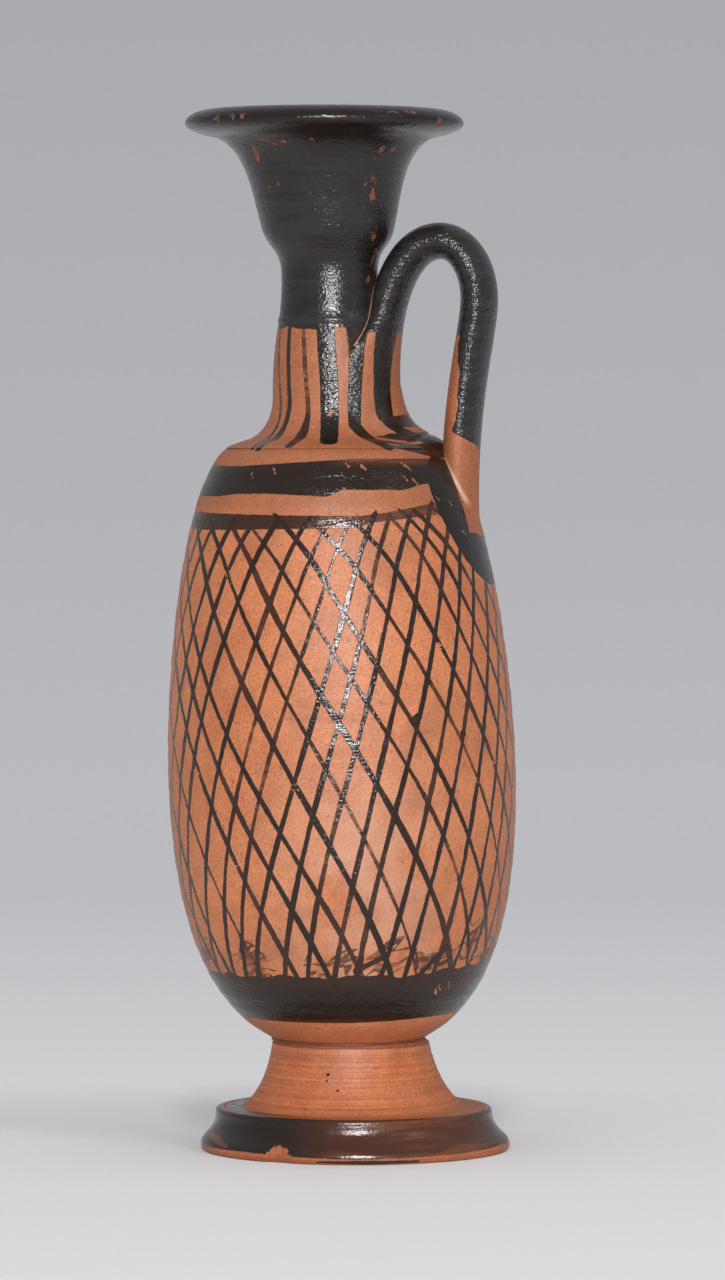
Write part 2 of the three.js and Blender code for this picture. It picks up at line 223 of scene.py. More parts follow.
class Wall:
    """A thrown wall unrolled for painting. A grid point has its angle from the painted front in degrees and
    its distance along the outline in millimetres; the outline gives its radius and height."""

    def __init__(self, profile, angle, along):
        length = measured(profile)
        outside = slice(profile[:, 1].argmin(), profile[:, 1].argmax() + 1)
        self.lengths = length[outside]
        self.levels = profile[outside, 1] + LEVEL_CREEP * self.lengths
        self.angle = half_turn(angle)
        self.along = along
        self.radius = np.interp(along, length, profile[:, 0])
        self.height = np.interp(along, length, profile[:, 1])
        self.shape = np.broadcast(self.angle, self.along).shape

    def level(self, height):
        """Distance along the outline where its outer face reaches a height, carried on past its ends."""
        beyond = np.maximum(height - self.levels[-1], 0) + np.minimum(height - self.levels[0], 0)
        return np.interp(height, self.levels, self.lengths) + beyond

    def band(self, low, high):
        """Distance in millimetres to a painted band between two heights, below 0 inside it."""
        return np.maximum(self.level(low) - self.along, self.along - self.level(high))

    def stroke(self, *path):
        """Distance in millimetres to a brush stroke, below 0 inside it: the least, over the stretches of
        its path, of the distance to the stretch less half the brush's width. A point of the path is an
        (angle, height, width)."""
        points = np.array(path if len(path) > 1 else path * 2, float)
        level = self.level(points[:, 1])
        nearest = np.full(self.shape, np.inf)
        for k in range(len(points) - 1):
            across = np.radians(half_turn(self.angle - points[k, 0])) * self.radius
            reach = np.radians(points[k + 1, 0] - points[k, 0]) * self.radius
            rise = self.along - level[k]
            climb = level[k + 1] - level[k]
            t = np.clip((across * reach + rise * climb) / (reach**2 + climb**2 + NEVER_ZERO), 0, 1)
            half = (points[k, 2] * (1 - t) + points[k + 1, 2] * t) / 2
            nearest = np.minimum(nearest, np.hypot(across - t * reach, rise - t * climb) - half)
        return nearest

    def nearest(self, paths):
        """Distance to the nearest of several strokes."""
        return np.min([self.stroke(*path) for path in paths], axis=0)

    def spots(self, places):
        """Distance to the nearest of several round spots, each an (angle, height, width)."""
        return self.nearest([place] for place in places)

    def strokes(self, painted):
        """Strokes listed as (tone, path), turned into the pairs of distance and tone that joined takes."""
        return [(self.stroke(*path), tone) for tone, path in painted]


def turned(profile, turns):
    """The wall of a whole turn of the wheel, with one grid column for each of its turns."""
    angle = np.linspace(0, 360, turns, endpoint=False)[None] - FRONT
    return Wall(profile, angle, measured(profile)[:, None])


def thrown(wall, axis, relief=0.0):
    """A turned surface in millimetres: the point at angle a and outline place (r, z) lies at
    (axis(z) + r cos a, r sin a, z), with the relief added to r."""
    turn = np.radians(wall.angle + FRONT)
    radius = np.broadcast_to(np.where(wall.radius > 0, wall.radius + relief, 0), wall.shape)
    height = np.broadcast_to(wall.height, wall.shape)
    return np.stack([axis(height) + radius * np.cos(turn), radius * np.sin(turn), height], -1)


def around(angle, turns, values):
    """A value given at some angles, and carried evenly from each to the next all round the turn."""
    return np.interp(angle, turns, values, period=360)


def joined(*layers):
    """Joins painted shapes, each a (distance, tone): the ink is the least distance, and the tone is that of
    the nearest shape, or the darker one where two coats overlap."""
    shape = np.broadcast_shapes(*(np.shape(distance) for distance, tone in layers))
    ink = np.full(shape, np.inf)
    shade = np.zeros(shape)
    for distance, tone in layers:
        twice = (distance < 0) & (ink < 0)
        shade = np.where(twice, np.minimum(shade, tone), np.where(distance < ink, tone, shade))
        ink = np.minimum(ink, distance)
    return ink, shade


def skinned(name, grid, ring=False, counts=None, **layers):
    """A closed mesh over a grid of points (rows, columns, 3) in millimetres. The columns close round the turn
    and, for a ring, the rows close too. A row drawn into one point is merged there, as a pole.
    Each layer of paint becomes a point attribute over the same grid. A count that rises round the turn has
    one column more, and lies on the faces' corners, so that the last column can hold the whole count."""
    rows, columns = grid.shape[:2]
    index = np.arange(rows * columns).reshape(rows, columns)
    if ring:
        index = np.vstack([index, index[:1]])
    low, high = index[:-1], index[1:]
    faces = np.stack([low, np.roll(low, -1, 1), np.roll(high, -1, 1), high], -1).reshape(-1, 4)
    mesh = bpy.data.meshes.new(name)
    mesh.vertices.add(rows * columns)
    mesh.vertices.foreach_set("co", (grid * MM).astype(np.float32).ravel())
    mesh.loops.add(faces.size)
    mesh.loops.foreach_set("vertex_index", faces.astype(np.int32).ravel())
    mesh.polygons.add(len(faces))
    mesh.polygons.foreach_set("loop_start", np.arange(0, faces.size, 4, dtype=np.int32))
    mesh.update(calc_edges=True)
    for layer, values in {**BARE, **layers}.items():
        spread = np.ascontiguousarray(np.broadcast_to(np.asarray(values, np.float32), (rows, columns)))
        mesh.attributes.new(layer, "FLOAT", "POINT").data.foreach_set("value", spread.ravel())
    for layer, values in (counts or {}).items():
        corners = np.stack([values[:-1, :-1], values[:-1, 1:], values[1:, 1:], values[1:, :-1]], -1)
        corners = corners.astype(np.float32).ravel()
        mesh.attributes.new(layer, "FLOAT", "CORNER").data.foreach_set("value", corners)
    merged = bmesh.new()
    merged.from_mesh(mesh)
    bmesh.ops.remove_doubles(merged, verts=merged.verts, dist=MERGE_GAP * MM)
    bmesh.ops.recalc_face_normals(merged, faces=merged.faces)
    merged.to_mesh(mesh)
    merged.free()
    mesh.shade_smooth()
    mesh.set_sharp_from_angle(angle=math.radians(SHARP_ANGLE))
    piece = bpy.data.objects.new(name, mesh)
    bpy.context.collection.objects.link(piece)
    return piece


def put(tree, kind, inputs=None, **options):
    """Adds a node, sets its options, and gives each input a socket to follow or a fixed value."""
    node = tree.nodes.new(kind)
    for option, value in options.items():
        setattr(node, option, value)
    for key, value in (inputs or {}).items():
        if isinstance(value, bpy.types.NodeSocket):
            tree.links.new(value, node.inputs[key])
        else:
            node.inputs[key].default_value = value
    return node


def calc(tree, operation, first, second=0.0):
    """The result of one arithmetic step on two values."""
    return put(tree, "ShaderNodeMath", {0: first, 1: second}, operation=operation).outputs[0]


def shaken(tree, value, *noises):
    """A value with noises added, each taken as a swing to both sides of 0 and given with its amount."""
    for noise, amount in noises:
        swing = calc(tree, "SUBTRACT", noise, 0.5)
        value = calc(tree, "ADD", value, calc(tree, "MULTIPLY", swing, amount))
    return value


def mixture(tree, *parts):
    """The sum of several values, each times its own weight."""
    total = 0.0
    for value, weight in parts:
        step = put(tree, "ShaderNodeMath", {0: value, 1: weight, 2: total}, operation="MULTIPLY_ADD")
        total = step.outputs[0]
    return total


def ramp(tree, value, low, high, bottom=0.0, top=1.0):
    """Carries a value smoothly from bottom at low to top at high, and holds it outside that range."""
    sockets = {"Value": value, "From Min": low, "From Max": high, "To Min": bottom, "To Max": top}
    return put(tree, "ShaderNodeMapRange", sockets, interpolation_type="SMOOTHSTEP").outputs["Result"]


def cloud(tree, vector, scale, detail):
    """Soft noise round 0.5, with scale features in each metre, or with so many along each axis."""
    if isinstance(scale, tuple):
        vector = put(tree, "ShaderNodeMapping", {"Vector": vector, "Scale": scale}).outputs[0]
        scale = 1.0
    sockets = {"Vector": vector, "Scale": scale, "Detail": detail}
    return put(tree, "ShaderNodeTexNoise", sockets).outputs["Fac"]


def tint(tree, factor, first, second):
    """Mixes two colours by a factor."""
    return put(tree, "ShaderNodeMix", {0: factor, 6: first, 7: second}, data_type="RGBA").outputs[2]


def between(tree, factor, first, second):
    """Mixes two values by a factor."""
    return put(tree, "ShaderNodeMix", {0: factor, 2: first, 3: second}).outputs[0]


def node_group(name, inputs, outputs):
    """An empty shader group with its sockets, given as {label: kind}."""
    tree = bpy.data.node_groups.new(name, "ShaderNodeTree")
    for label, kind in inputs.items():
        tree.interface.new_socket(label, in_out="INPUT", socket_type="NodeSocket" + kind)
    for label, kind in outputs.items():
        tree.interface.new_socket(label, in_out="OUTPUT", socket_type="NodeSocket" + kind)
    return tree, tree.nodes.new("NodeGroupInput").outputs, tree.nodes.new("NodeGroupOutput").inputs


def fired_clay():
    """Fired clay: slow mottling between a pale and a deep tint, fine grain, dark and pale specks, and level
    turning lines. Above 0, the stains and painted light lay a brown wash, which serves real washes and
    painted shade; below 0 a pale smear, which serves real smears and seams and a painted sheen. Heights are
    millimetres."""
    tree, given, result = node_group(
        "fired clay",
        {"Vector": "Vector", "Pale": "Color", "Deep": "Color", "Stain and painted light": "Float", "Turning": "Float"},
        {"Color": "Color", "Roughness": "Float", "Height": "Float"})
    noise = {name: cloud(tree, given["Vector"], *size) for name, size in CLAY_NOISES.items()}
    mottle = noise["mottle"]
    mixed = mixture(tree, (noise["drift"], DRIFT_TINT), (mottle, MOTTLE_TINT))
    body = tint(tree, ramp(tree, mixed, *TINT_RANGE), given["Deep"], given["Pale"])
    shade = shaken(tree, 1.0, (noise["lines"], given["Turning"]), (noise["grain"], GRAIN_SHADE),
                   (noise["dust"], DUST_SHADE))
    body = put(tree, "ShaderNodeHueSaturation", {"Color": body, "Value": shade}).outputs[0]
    for name, low, high, strength, colour in CLAY_MARKS:
        body = tint(tree, ramp(tree, noise[name], low, high, 0.0, strength), body, (*colour, 1))
    smear = calc(tree, "MULTIPLY", given["Stain and painted light"], calc(tree, "ADD", mottle, STAIN_EVEN))
    body = tint(tree, ramp(tree, smear, 0.0, 1.0), body, (*WASH_AND_SHADE_BROWN, 1))
    body = tint(tree, ramp(tree, smear, 0.0, -1.0), body, (*SMEAR_AND_SHEEN_PALE, 1))
    tree.links.new(body, result["Color"])
    tree.links.new(ramp(tree, mottle, *CLAY_ROUGHNESS), result["Roughness"])
    ridges = calc(tree, "MULTIPLY", noise["lines"], given["Turning"])
    relief = mixture(tree, (ridges, LINES_RELIEF), (mottle, MOTTLE_RELIEF), (noise["grain"], GRAIN_RELIEF))
    tree.links.new(relief, result["Height"])
    return tree


def black_slip():
    """Black slip: it covers where the ink distance, made ragged by noise, is below 0. Tone turns the middle
    of a stroke brown, while its margin, where the slip pools, stays dark; a high tone lets the clay through
    in level streaks of the brush. Wear breaks the film into specks, and a chip distance below 0 bares the
    clay. The fired film is glossy and more or less pitted; dull slip is greyer and rougher. Heights are
    millimetres."""
    tree, given, result = node_group(
        "black slip",
        {"Vector": "Vector", **dict.fromkeys(SLIP_LAYERS, "Float"), "Pitted": "Float"},
        {"Cover": "Float", "Color": "Color", "Roughness": "Float", "Height": "Float"})
    noise = {name: cloud(tree, given["Vector"], *size) for name, size in SLIP_NOISES.items()}
    streak, ragged, bristle = noise["streak"], noise["ragged"], noise["bristle"]
    edge = shaken(tree, given["Ink"], (ragged, EDGE_RAGGED), (bristle, EDGE_BRISTLE))
    gaps = calc(tree, "MULTIPLY", ramp(tree, streak, *GAP_STREAKS), ramp(tree, given["Tone"], *GAP_TONES))
    broken = shaken(tree, given["Chip"], (ragged, CHIP_RAGGED), (bristle, CHIP_BRISTLE))
    worn = mixture(tree, (bristle, WEAR_BRISTLE), (ragged, WEAR_RAGGED), (given["Wear"], WEAR_STRENGTH))
    cover = ramp(tree, edge, *SLIP_EDGE)
    cover = calc(tree, "MULTIPLY", cover, calc(tree, "SUBTRACT", 1.0, gaps))
    cover = calc(tree, "MULTIPLY", cover, ramp(tree, broken, *CHIP_EDGE))
    cover = calc(tree, "MULTIPLY", cover, ramp(tree, worn, *WEAR_EDGE))
    tree.links.new(cover, result["Cover"])
    middle = calc(tree, "MULTIPLY", given["Tone"], ramp(tree, edge, *BROWN_MIDDLE))
    fringe = ramp(tree, edge, *BROWN_FRINGE)
    thin = calc(tree, "ADD", calc(tree, "ADD", middle, fringe), ramp(tree, streak, *BROWN_STREAKS))
    dusty = calc(tree, "MULTIPLY", given["Dull"], ramp(tree, streak, *DULL_STREAKS))
    black = tint(tree, dusty, (*SLIP_BLACK, 1), (*SLIP_DULL, 1))
    tree.links.new(tint(tree, thin, black, (*SLIP_BROWN, 1)), result["Color"])
    rougher = calc(tree, "MULTIPLY", given["Dull"], DULL_ROUGHNESS)
    roughness = calc(tree, "ADD", ramp(tree, ragged, *SLIP_ROUGHNESS), rougher)
    tree.links.new(roughness, result["Roughness"])
    film = mixture(tree, (noise["pits"], FILM_RELIEF), (noise["furrows"], FILM_RELIEF))
    film = calc(tree, "MULTIPLY", film, given["Pitted"])
    tree.links.new(calc(tree, "MULTIPLY", film, cover), result["Height"])
    return tree


CLAY_GROUP = fired_clay()
SLIP_GROUP = black_slip()


def pottery(name, pale=CLAY_PALE, deep=CLAY_DEEP, turning=0.12, pitted=1.0, overlay=None):
    """Slip-painted pottery: the fired clay shows wherever the black slip, laid by the piece's point
    attributes ink, tone, chip, wear, stain and dull, doesn't cover it. Turning is the strength of the tool's
    lines, and pitted how rough the slip's film is. An overlay adds more paint to these layers."""
    material = bpy.data.materials.new(name)
    material.use_nodes = True
    tree = material.node_tree
    shader = tree.nodes["Principled BSDF"]
    shader.inputs["Specular IOR Level"].default_value = POTTERY_SPECULAR
    vector = put(tree, "ShaderNodeTexCoord").outputs["Object"]
    layer = {key: put(tree, "ShaderNodeAttribute", attribute_name=key).outputs["Fac"] for key in BARE}
    if overlay:
        layer.update(overlay(tree, layer))
    clay = put(tree, "ShaderNodeGroup", node_tree=CLAY_GROUP)
    slip = put(tree, "ShaderNodeGroup", node_tree=SLIP_GROUP)
    for group in (clay, slip):
        tree.links.new(vector, group.inputs["Vector"])
    clay.inputs["Pale"].default_value = (*pale, 1)
    clay.inputs["Deep"].default_value = (*deep, 1)
    clay.inputs["Turning"].default_value = turning
    slip.inputs["Pitted"].default_value = pitted
    tree.links.new(layer["stain"], clay.inputs["Stain and painted light"])
    for label in SLIP_LAYERS:
        tree.links.new(layer[label.lower()], slip.inputs[label])
    cover = slip.outputs["Cover"]
    colour = tint(tree, cover, clay.outputs["Color"], slip.outputs["Color"])
    gloss = between(tree, cover, clay.outputs["Roughness"], slip.outputs["Roughness"])
    height = calc(tree, "ADD", clay.outputs["Height"], slip.outputs["Height"])
    bump = put(tree, "ShaderNodeBump", {"Strength": 1.0, "Distance": MM, "Height": height})
    tree.links.new(colour, shader.inputs["Base Color"])
    tree.links.new(gloss, shader.inputs["Roughness"])
    tree.links.new(bump.outputs["Normal"], shader.inputs["Normal"])
    return material


def fitted(piece, material, node):
    """Gives a piece its finish and puts it in the place of its node."""
    piece.data.materials.append(material)
    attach(piece, "root")
    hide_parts(node)


foot_radius = half_width("foot")
foot_top = top_of("foot")
foot_rest = foot_radius - FOOT_EDGE
disc_side = DISC_HEIGHT - DISC_ROUND
stem_top = foot_top - STEM_CHAMFER
foot_axis = leaning("foot", FOOT_LEAN, FOOT_EDGE)
foot_wall = turned(outline(
    (0, HOLLOW_DEPTH),
    (14, (HOLLOW_RADIUS, HOLLOW_DEPTH), (HOLLOW_RADIUS, HOLLOW_DEPTH), (foot_rest - REST_WIDTH, 0)),
    (4, (foot_rest, 0)),
    (8, (foot_radius, 0), (foot_radius, FOOT_EDGE)),
    (26, (foot_radius, FOOT_EDGE + RIM_LOW_PULL), (DISC_RADIUS, disc_side - RIM_HIGH_PULL),
     (DISC_RADIUS, disc_side)),
    (8, (DISC_RADIUS, DISC_HEIGHT), (DISC_RADIUS - DISC_ROUND, DISC_HEIGHT)),
    (10, (STEM_ROOT_RADIUS, DISC_HEIGHT)),
    (70, (STEM_RADIUS + STEM_FLARE, stem_top - STEM_PULL), (STEM_RADIUS, stem_top)),
    (2, (STEM_RADIUS - STEM_CHAMFER, foot_top)),
    (4, (0, foot_top))), FOOT_TURNS)

# A flake has broken out of the lower edge, and the stem keeps the ridges of the turning tool
angle, height, radius = foot_wall.angle, foot_wall.height, foot_wall.radius
on_side = foot_wall.along > foot_wall.level(0) + REST_WIDTH / 2
on_stem = on_side & (height > DISC_HEIGHT) & (height < stem_top)
bite_across = np.radians(angle - BITE_PLACE[0]) * radius / BITE_SIZE[0]
bite_rise = (height - BITE_PLACE[1]) / BITE_SIZE[1]
flake = np.where(on_side, np.hypot(bite_across, bite_rise) - 1, 1)
foot_relief = np.where(on_stem, STEM_RIDGE * waves(height, *STEM_RIDGES), 0)
foot_relief = foot_relief - BITE_DEPTH * np.clip(-flake, 0, 1) ** BITE_HOLLOW

# The slip covers the rim from just above the table to a ring on the disc, and is rubbed thin on the left
rim = np.where(on_stem, FAR, around(angle, *RIM_INNER) - radius)
rim = np.where(on_side, np.maximum(around(angle, *RIM_LOW) - height, rim), FAR)
rubbed = share(foot_wall.stroke(*RIM_RUBBED), *RIM_RUBBED_FADE)
rim_tone = np.maximum(around(angle, *RIM_TONE), rubbed)
edge_wash = np.where(on_side, foot_wall.stroke(*EDGE_WASH), FAR)
foot_ink, foot_tone = joined(
    (rim, rim_tone), (foot_wall.spots(STEM_SPLASHES), 0.0), (edge_wash, EDGE_WASH_TONE))
smear_low = stem_top - SMEAR_WIDTH
smear = share(height, smear_low, smear_low + SMEAR_FADE)
# Painted shade: a fine dark line at the stem's top, in the groove under the body. The stem is also darker
# towards the disc
stem_darkening = share(np.abs(height - stem_top), GROOVE_SHADE_WIDTH, 0)
stem_darkening = stem_darkening + DISC_DARKENING * share(height, *DISC_DARKENING_LEVELS)
foot = skinned("foot_visual", thrown(foot_wall, foot_axis, foot_relief), ink=foot_ink, tone=foot_tone,
               chip=BITE_CHIP * flake, wear=0.25, stain=np.where(on_side, stem_darkening - SMEAR_PALENESS * smear, 0))
fitted(foot, pottery("turned foot clay", FOOT_PALE, FOOT_DEEP, turning=1.1, pitted=0.35), "foot")


# Foot luting
# A thin ring of soft clay that sticks the body on the foot's stem, its squeezed-out bead smoothed by finger.
# It fires to the clay's own orange, and painted shade in the groove shows it as a fine dark line under the
# body.

BODY_LEAN = 0.0242
BELLY_LEVEL = 66.0
BODY_BASE_RADIUS = 13.2
BEAD = 0.2
LUTING_TURNS = 240
LUTING_TURNING = 0.2
FOOT_LUTING_BORE = 5.0


def luting_ring(node, bore, axis, start, *rim, strokes=(), ink=FAR, stain=0.0, dull=0.0,
                clay=(CLAY_PALE, CLAY_DEEP)):
    """The seam's ring of clay, flat from its bore out, with its rim smoothed along an outline that begins at
    the given start. The strokes of its neighbours run across it."""
    wall = turned(outline((bore, base_of(node)), (4, start), *rim, (4, (bore, top_of(node)))), LUTING_TURNS)
    ink, tone = joined((np.full(wall.shape, ink), 0.0), *wall.strokes(strokes))
    ring = skinned(node + "_visual", thrown(wall, axis), ring=True, ink=ink, tone=tone, stain=stain,
                   dull=dull)
    fitted(ring, pottery(node.replace("_", " "), *clay, turning=LUTING_TURNING), node)


body_axis = leaning("body", BODY_LEAN, BELLY_LEVEL)
body_base = base_of("body")
bead_radius = BODY_BASE_RADIUS + BEAD
# The ring is darkened with painted shade, to show as a dark line in the groove under the body
luting_ring("foot_luting", FOOT_LUTING_BORE, body_axis, (BODY_BASE_RADIUS, foot_top),
            (6, (bead_radius, foot_top), (bead_radius, body_base), (BODY_BASE_RADIUS, body_base)), stain=0.8)


# Body
# The jar itself: a slim egg thrown of orange clay with a thin wall, drawn in at the top to a low shoulder.
# Black bands ring the shoulder and the base, and two families of hand-drawn brush lines cross in a net.

# The wall, and its throwing ridges as waves (size, rate, start)
BODY_TURNS = 372
BODY_SPREAD = 6.3
BODY_LIFT = 3.4
BELLY_LOWER_PULL = 35.5
BELLY_UPPER_PULL = 17.4
SHOULDER_RADIUS = 16.4
SHOULDER_PULL = 9.6
SHOULDER_BORE = 6.5
BODY_WALL = 3.2
BODY_FLOOR = 5.0
THROWING_RIDGE = 0.03
THROWING_RIDGES = ((1, 0.9, 0), (1, 2.3, 1.3))

# The net: the levels at which its lines are given, where they start and end, and how the brush wavers
NET_LEVELS = (100.0, 70.0, 40.0)
NET_TOP = 109.5
NET_END = 28.0
NET_START = 0.5
NET_SPREAD = 0.35
CLOSEST = 2.0
CROSSING = 0.2
FALLING_BEND = -0.06
RISING_BEND = 0.03
LINE_SWAY = (0.2, 0.13)
WIDTH_SWAY = (0.14, 0.31, 1.7)
FULL_WIDTH = 0.95
THIN_WIDTH = 0.5
THIN_RANGE = 0.4
THIN_TONE = 0.45
LINE_TONE = 0.12
DRY_TONE = (0.40, 0.09, 2.1)
BRUSH_SPREAD = 0.9
BAND_EDGE = (0.1, -0.1)
LINE_EDGE = (0.12, -0.12)

# The handle's side, kept free by the brown band and covered by a black patch round the handle's foot
HANDLE_ANGLE = 78.0
HANDLE_CLEAR = 33.0
CLEAR_SLOPE = 0.4
PATCH_LEVEL = 113.0
PATCH_WIDTH = 13.7
PATCH_DROP = 15.5
PATCH_RISE = 10.0

# Washes dragged up from the base band round the back, and the fine strands in all washes, in metres
BACK_WASHES = 16
BACK_WASH_TURNS = (60, 300)
BACK_WASH_LEVELS = (33, 35.5)
BACK_WASH_RUN = (7, 1.2)
BACK_WASH_WIDTHS = (2.4, 2.0)
BACK_WASH_SEED = 11
FRAY_SPREAD = 1.8
STRAND_SIZE = (0.0070, 0.0036, 0.0019)
STRAND_SLANT = -0.44
STRAND_SWIRL = 0.3
STRAND_GAP = 3.4
STRAND_HALF = 0.15
STRAND_TONE = 1.8
STRAND_EDGE = (0.0, 0.1)

# Each line of the net: its angles at the three levels, and the brush's width at its top and at its end
FALLING_LINES = [
    (-121, -86, -60, 1.0, 1.0), (-108, -72.4, -43, 0.9, 0.6), (-93.6, -58, -27.5, 1.0, 1.1),
    (-82.6, -47, -15, 1.1, 1.1), (-72.4, -36.5, -2.3, 1.0, 1.0), (-56.5, -20.9, 10.3, 1.15, 1.15),
    (-43, -7.75, 21.8, 0.95, 0.5), (-30.25, 5.4, 38.1, 1.15, 1.25), (-19, 19.5, 49.7, 0.65, 0.9),
    (-5.25, 30, 62, 1.0, 1.0), (8.8, 45.4, 73, 0.85, 0.6), (23.2, 57.5, 88, 1.0, 1.0),
    (37.9, 68, 98, 0.9, 0.9), (46.9, 79, 109, 0.9, 0.9)]
RISING_LINES = [
    (-65, -84, -94, 1.0, 1.0), (-54, -73.5, -86, 1.1, 1.1), (-44, -64, -77, 1.1, 1.1),
    (-34, -55.5, -70, 1.1, 1.1), (-21, -42, -59, 1.0, 1.0), (-12, -32.3, -48, 0.6, 1.05),
    (-3.3, -23, -40, 0.6, 1.0), (6.2, -12.3, -32, 1.0, 1.0), (13.5, -3.4, -20.5, 0.75, 1.15),
    (21.7, 4.3, -11.5, 0.9, 0.95), (31, 14, -0.8, 1.0, 1.0), (42, 23, 7.5, 1.0, 1.0),
    (51, 33.8, 18, 1.0, 1.0), (60, 42.3, 27.3, 1.0, 1.0), (70, 53, 39.6, 1.15, 1.15),
    (79, 62.7, 49.8, 1.0, 1.0), (88, 71, 59, 1.0, 1.0)]

# The back's lines: the front's last and first angle at the middle level, the number of lines with these two,
# how far a line is off at the upper and the lower level, the scatter of its angles, and the brush's widths
BACK_FALLING = (79.0, 274.0, 16, -35.5, 32.0)
BACK_RISING = (71.0, 276.0, 21, 20.0, -15.5)
BACK_SCATTER = (1.2, 1.0, 1.5)
BACK_WIDTHS = (0.75, 1.15)
NET_SEED = 5

# The bands' edges and tones, as angles and the heights or tones there
SHOULDER_LOW = ([-84, -60, -45, -30, -3, 3, 30, 42],
                [113.3, 113.3, 113.8, 113.9, 113.4, 114.6, 114.5, 115.5])
SHOULDER_HIGH = ([-49, -16, 12, 46], [118.5, 119.2, 119.8, 119.8])
SHOULDER_TONE = 0.08
SHOULDER_WASH = ([-5, 10, 130, 160], [0, 0.75, 0.75, 0])
SHOULDER_WASH_FADE = (-1.56, -0.36)
BROWN_LOW = ([-60, -20, 8, 14, 40], [107.6, 107.9, 108.1, 109.0, 110.2])
BROWN_HIGH = ([-20, 10, 20, 40, 46], [110.2, 110.1, 110.6, 112.0, 112.3])
BROWN_TONE = ([-60, -15, 5, 40], [0.35, 0.45, 0.7, 0.8])
BASE_LOW = ([-53, 4, 54], [23.4, 23.5, 24.2])
BASE_HIGH = ([-54.5, -23, 3.5, 30, 65], [31.4, 31.7, 31.9, 32.0, 33.4])
BASE_WAVES = ((0.22, 11, 0), (0.18, 26, math.radians(70)))
BASE_TONE = 0.05
BASE_UPPER_TONE, BASE_UPPER_LEVELS = 0.22, (28.2, 30.7)
BASE_LOWER_TONE, BASE_LOWER_LEVELS = 0.5, (24.4, 23.6)

# Blots of slip that the brush dragged up from the base band, as (tone, path), the places where it left thin
# reddish washes full of fine strands, and drops beside the net's lines
BASE_SMEARS = [
    (0.1, [(-40.2, 39.4, 0.6), (-42.5, 35.9, 1.2)]),
    (0.3, [(4.5, 32.9, 1.6), (6, 35.5, 0.8)]),
    (0.45, [(6, 33.4, 0.9), (14.3, 35.3, 1.0)]),
    (0.6, [(26.5, 36.9, 0.5), (28.8, 33.1, 0.7)]),
    (0.2, [(30.5, 32.0, 1.0), (40, 36.6, 1.2)]),
    (0.6, [(38.5, 33.5, 0.8), (43.2, 34.3, 0.6)])]
BASE_WASHES = [
    [(-41, 35.3, 2.6), (-37, 32.8, 3.4)], [(-9, 33.6, 2.6), (-4.5, 34.8, 2.0)],
    [(5, 34.0, 2.6), (15, 35.3, 2.4)], [(20, 33.6, 2.2), (22, 36.4, 1.6)],
    [(26.5, 34.8, 2.0), (31, 33.1, 2.6)], [(38, 33.4, 2.4), (44, 34.4, 2.2)],
    [(53, 35.4, 2.0), (55.5, 38.8, 1.6)]]
NET_DROPS = [(25, 75.6, 1.6), (26.6, 76.3, 1.4), (44, 73, 1.5)]
NET_DROP_TONE = 0.2

# Where the clay is stained by the washes and smudges, darkened by painted shade above the net and under the
# base band, and paled by a painted sheen on the front; and where the paint is rubbed
WASH_STAIN, WASH_FADE = 0.6, (0.36, -0.54)
SMUDGES = [(30, 105.5, 5), (-4, 45, 7), (24, 52, 4)]
SMUDGE_STAIN, SMUDGE_FADE = 0.35, (2, -2)
UPPER_PAINTED_SHADE, UPPER_PAINTED_SHADE_LEVELS = 0.42, (107, 112)
LOWER_PAINTED_SHADE, LOWER_PAINTED_SHADE_LEVELS = 0.3, (24, 22.5)
PAINTED_SHEEN, PAINTED_SHEEN_ANGLE, PAINTED_SHEEN_SPREAD, PAINTED_SHEEN_LEVELS = 0.42, 6, 32, (80, 55)
RUBBED_PLACES = [
    (-43, 100, 4), (-39, 51, 4), (-55, 66, 4), (-14, 64, 4), (51, 64, 4), (61, 67, 4), (39, 88, 4)]
RUBBED_WEAR, RUBBED_FADE = 0.8, (1.8, -1.2)
BODY_WEAR = 0.22

# Short slanting scratches through the bands: their angles and heights, and how they run and widen
SCRATCHES = [
    (-39.8, 117.1), (-28.2, 117.8), (5.7, 118.9), (12, 118.7), (13.5, 118.5), (34, 118.9), (36, 118.4),
    (32.5, 116.6), (37.5, 115.9), (47.2, 113.2), (54.8, 112.3), (59.3, 107.2), (41.5, 28.7), (47.8, 29.8),
    (43, 29.4)]
SCRATCH_RUN = (0.9, -0.5)
SCRATCH_WIDTHS = (0.3, 0.4)
SCRATCH_CHIP = 3

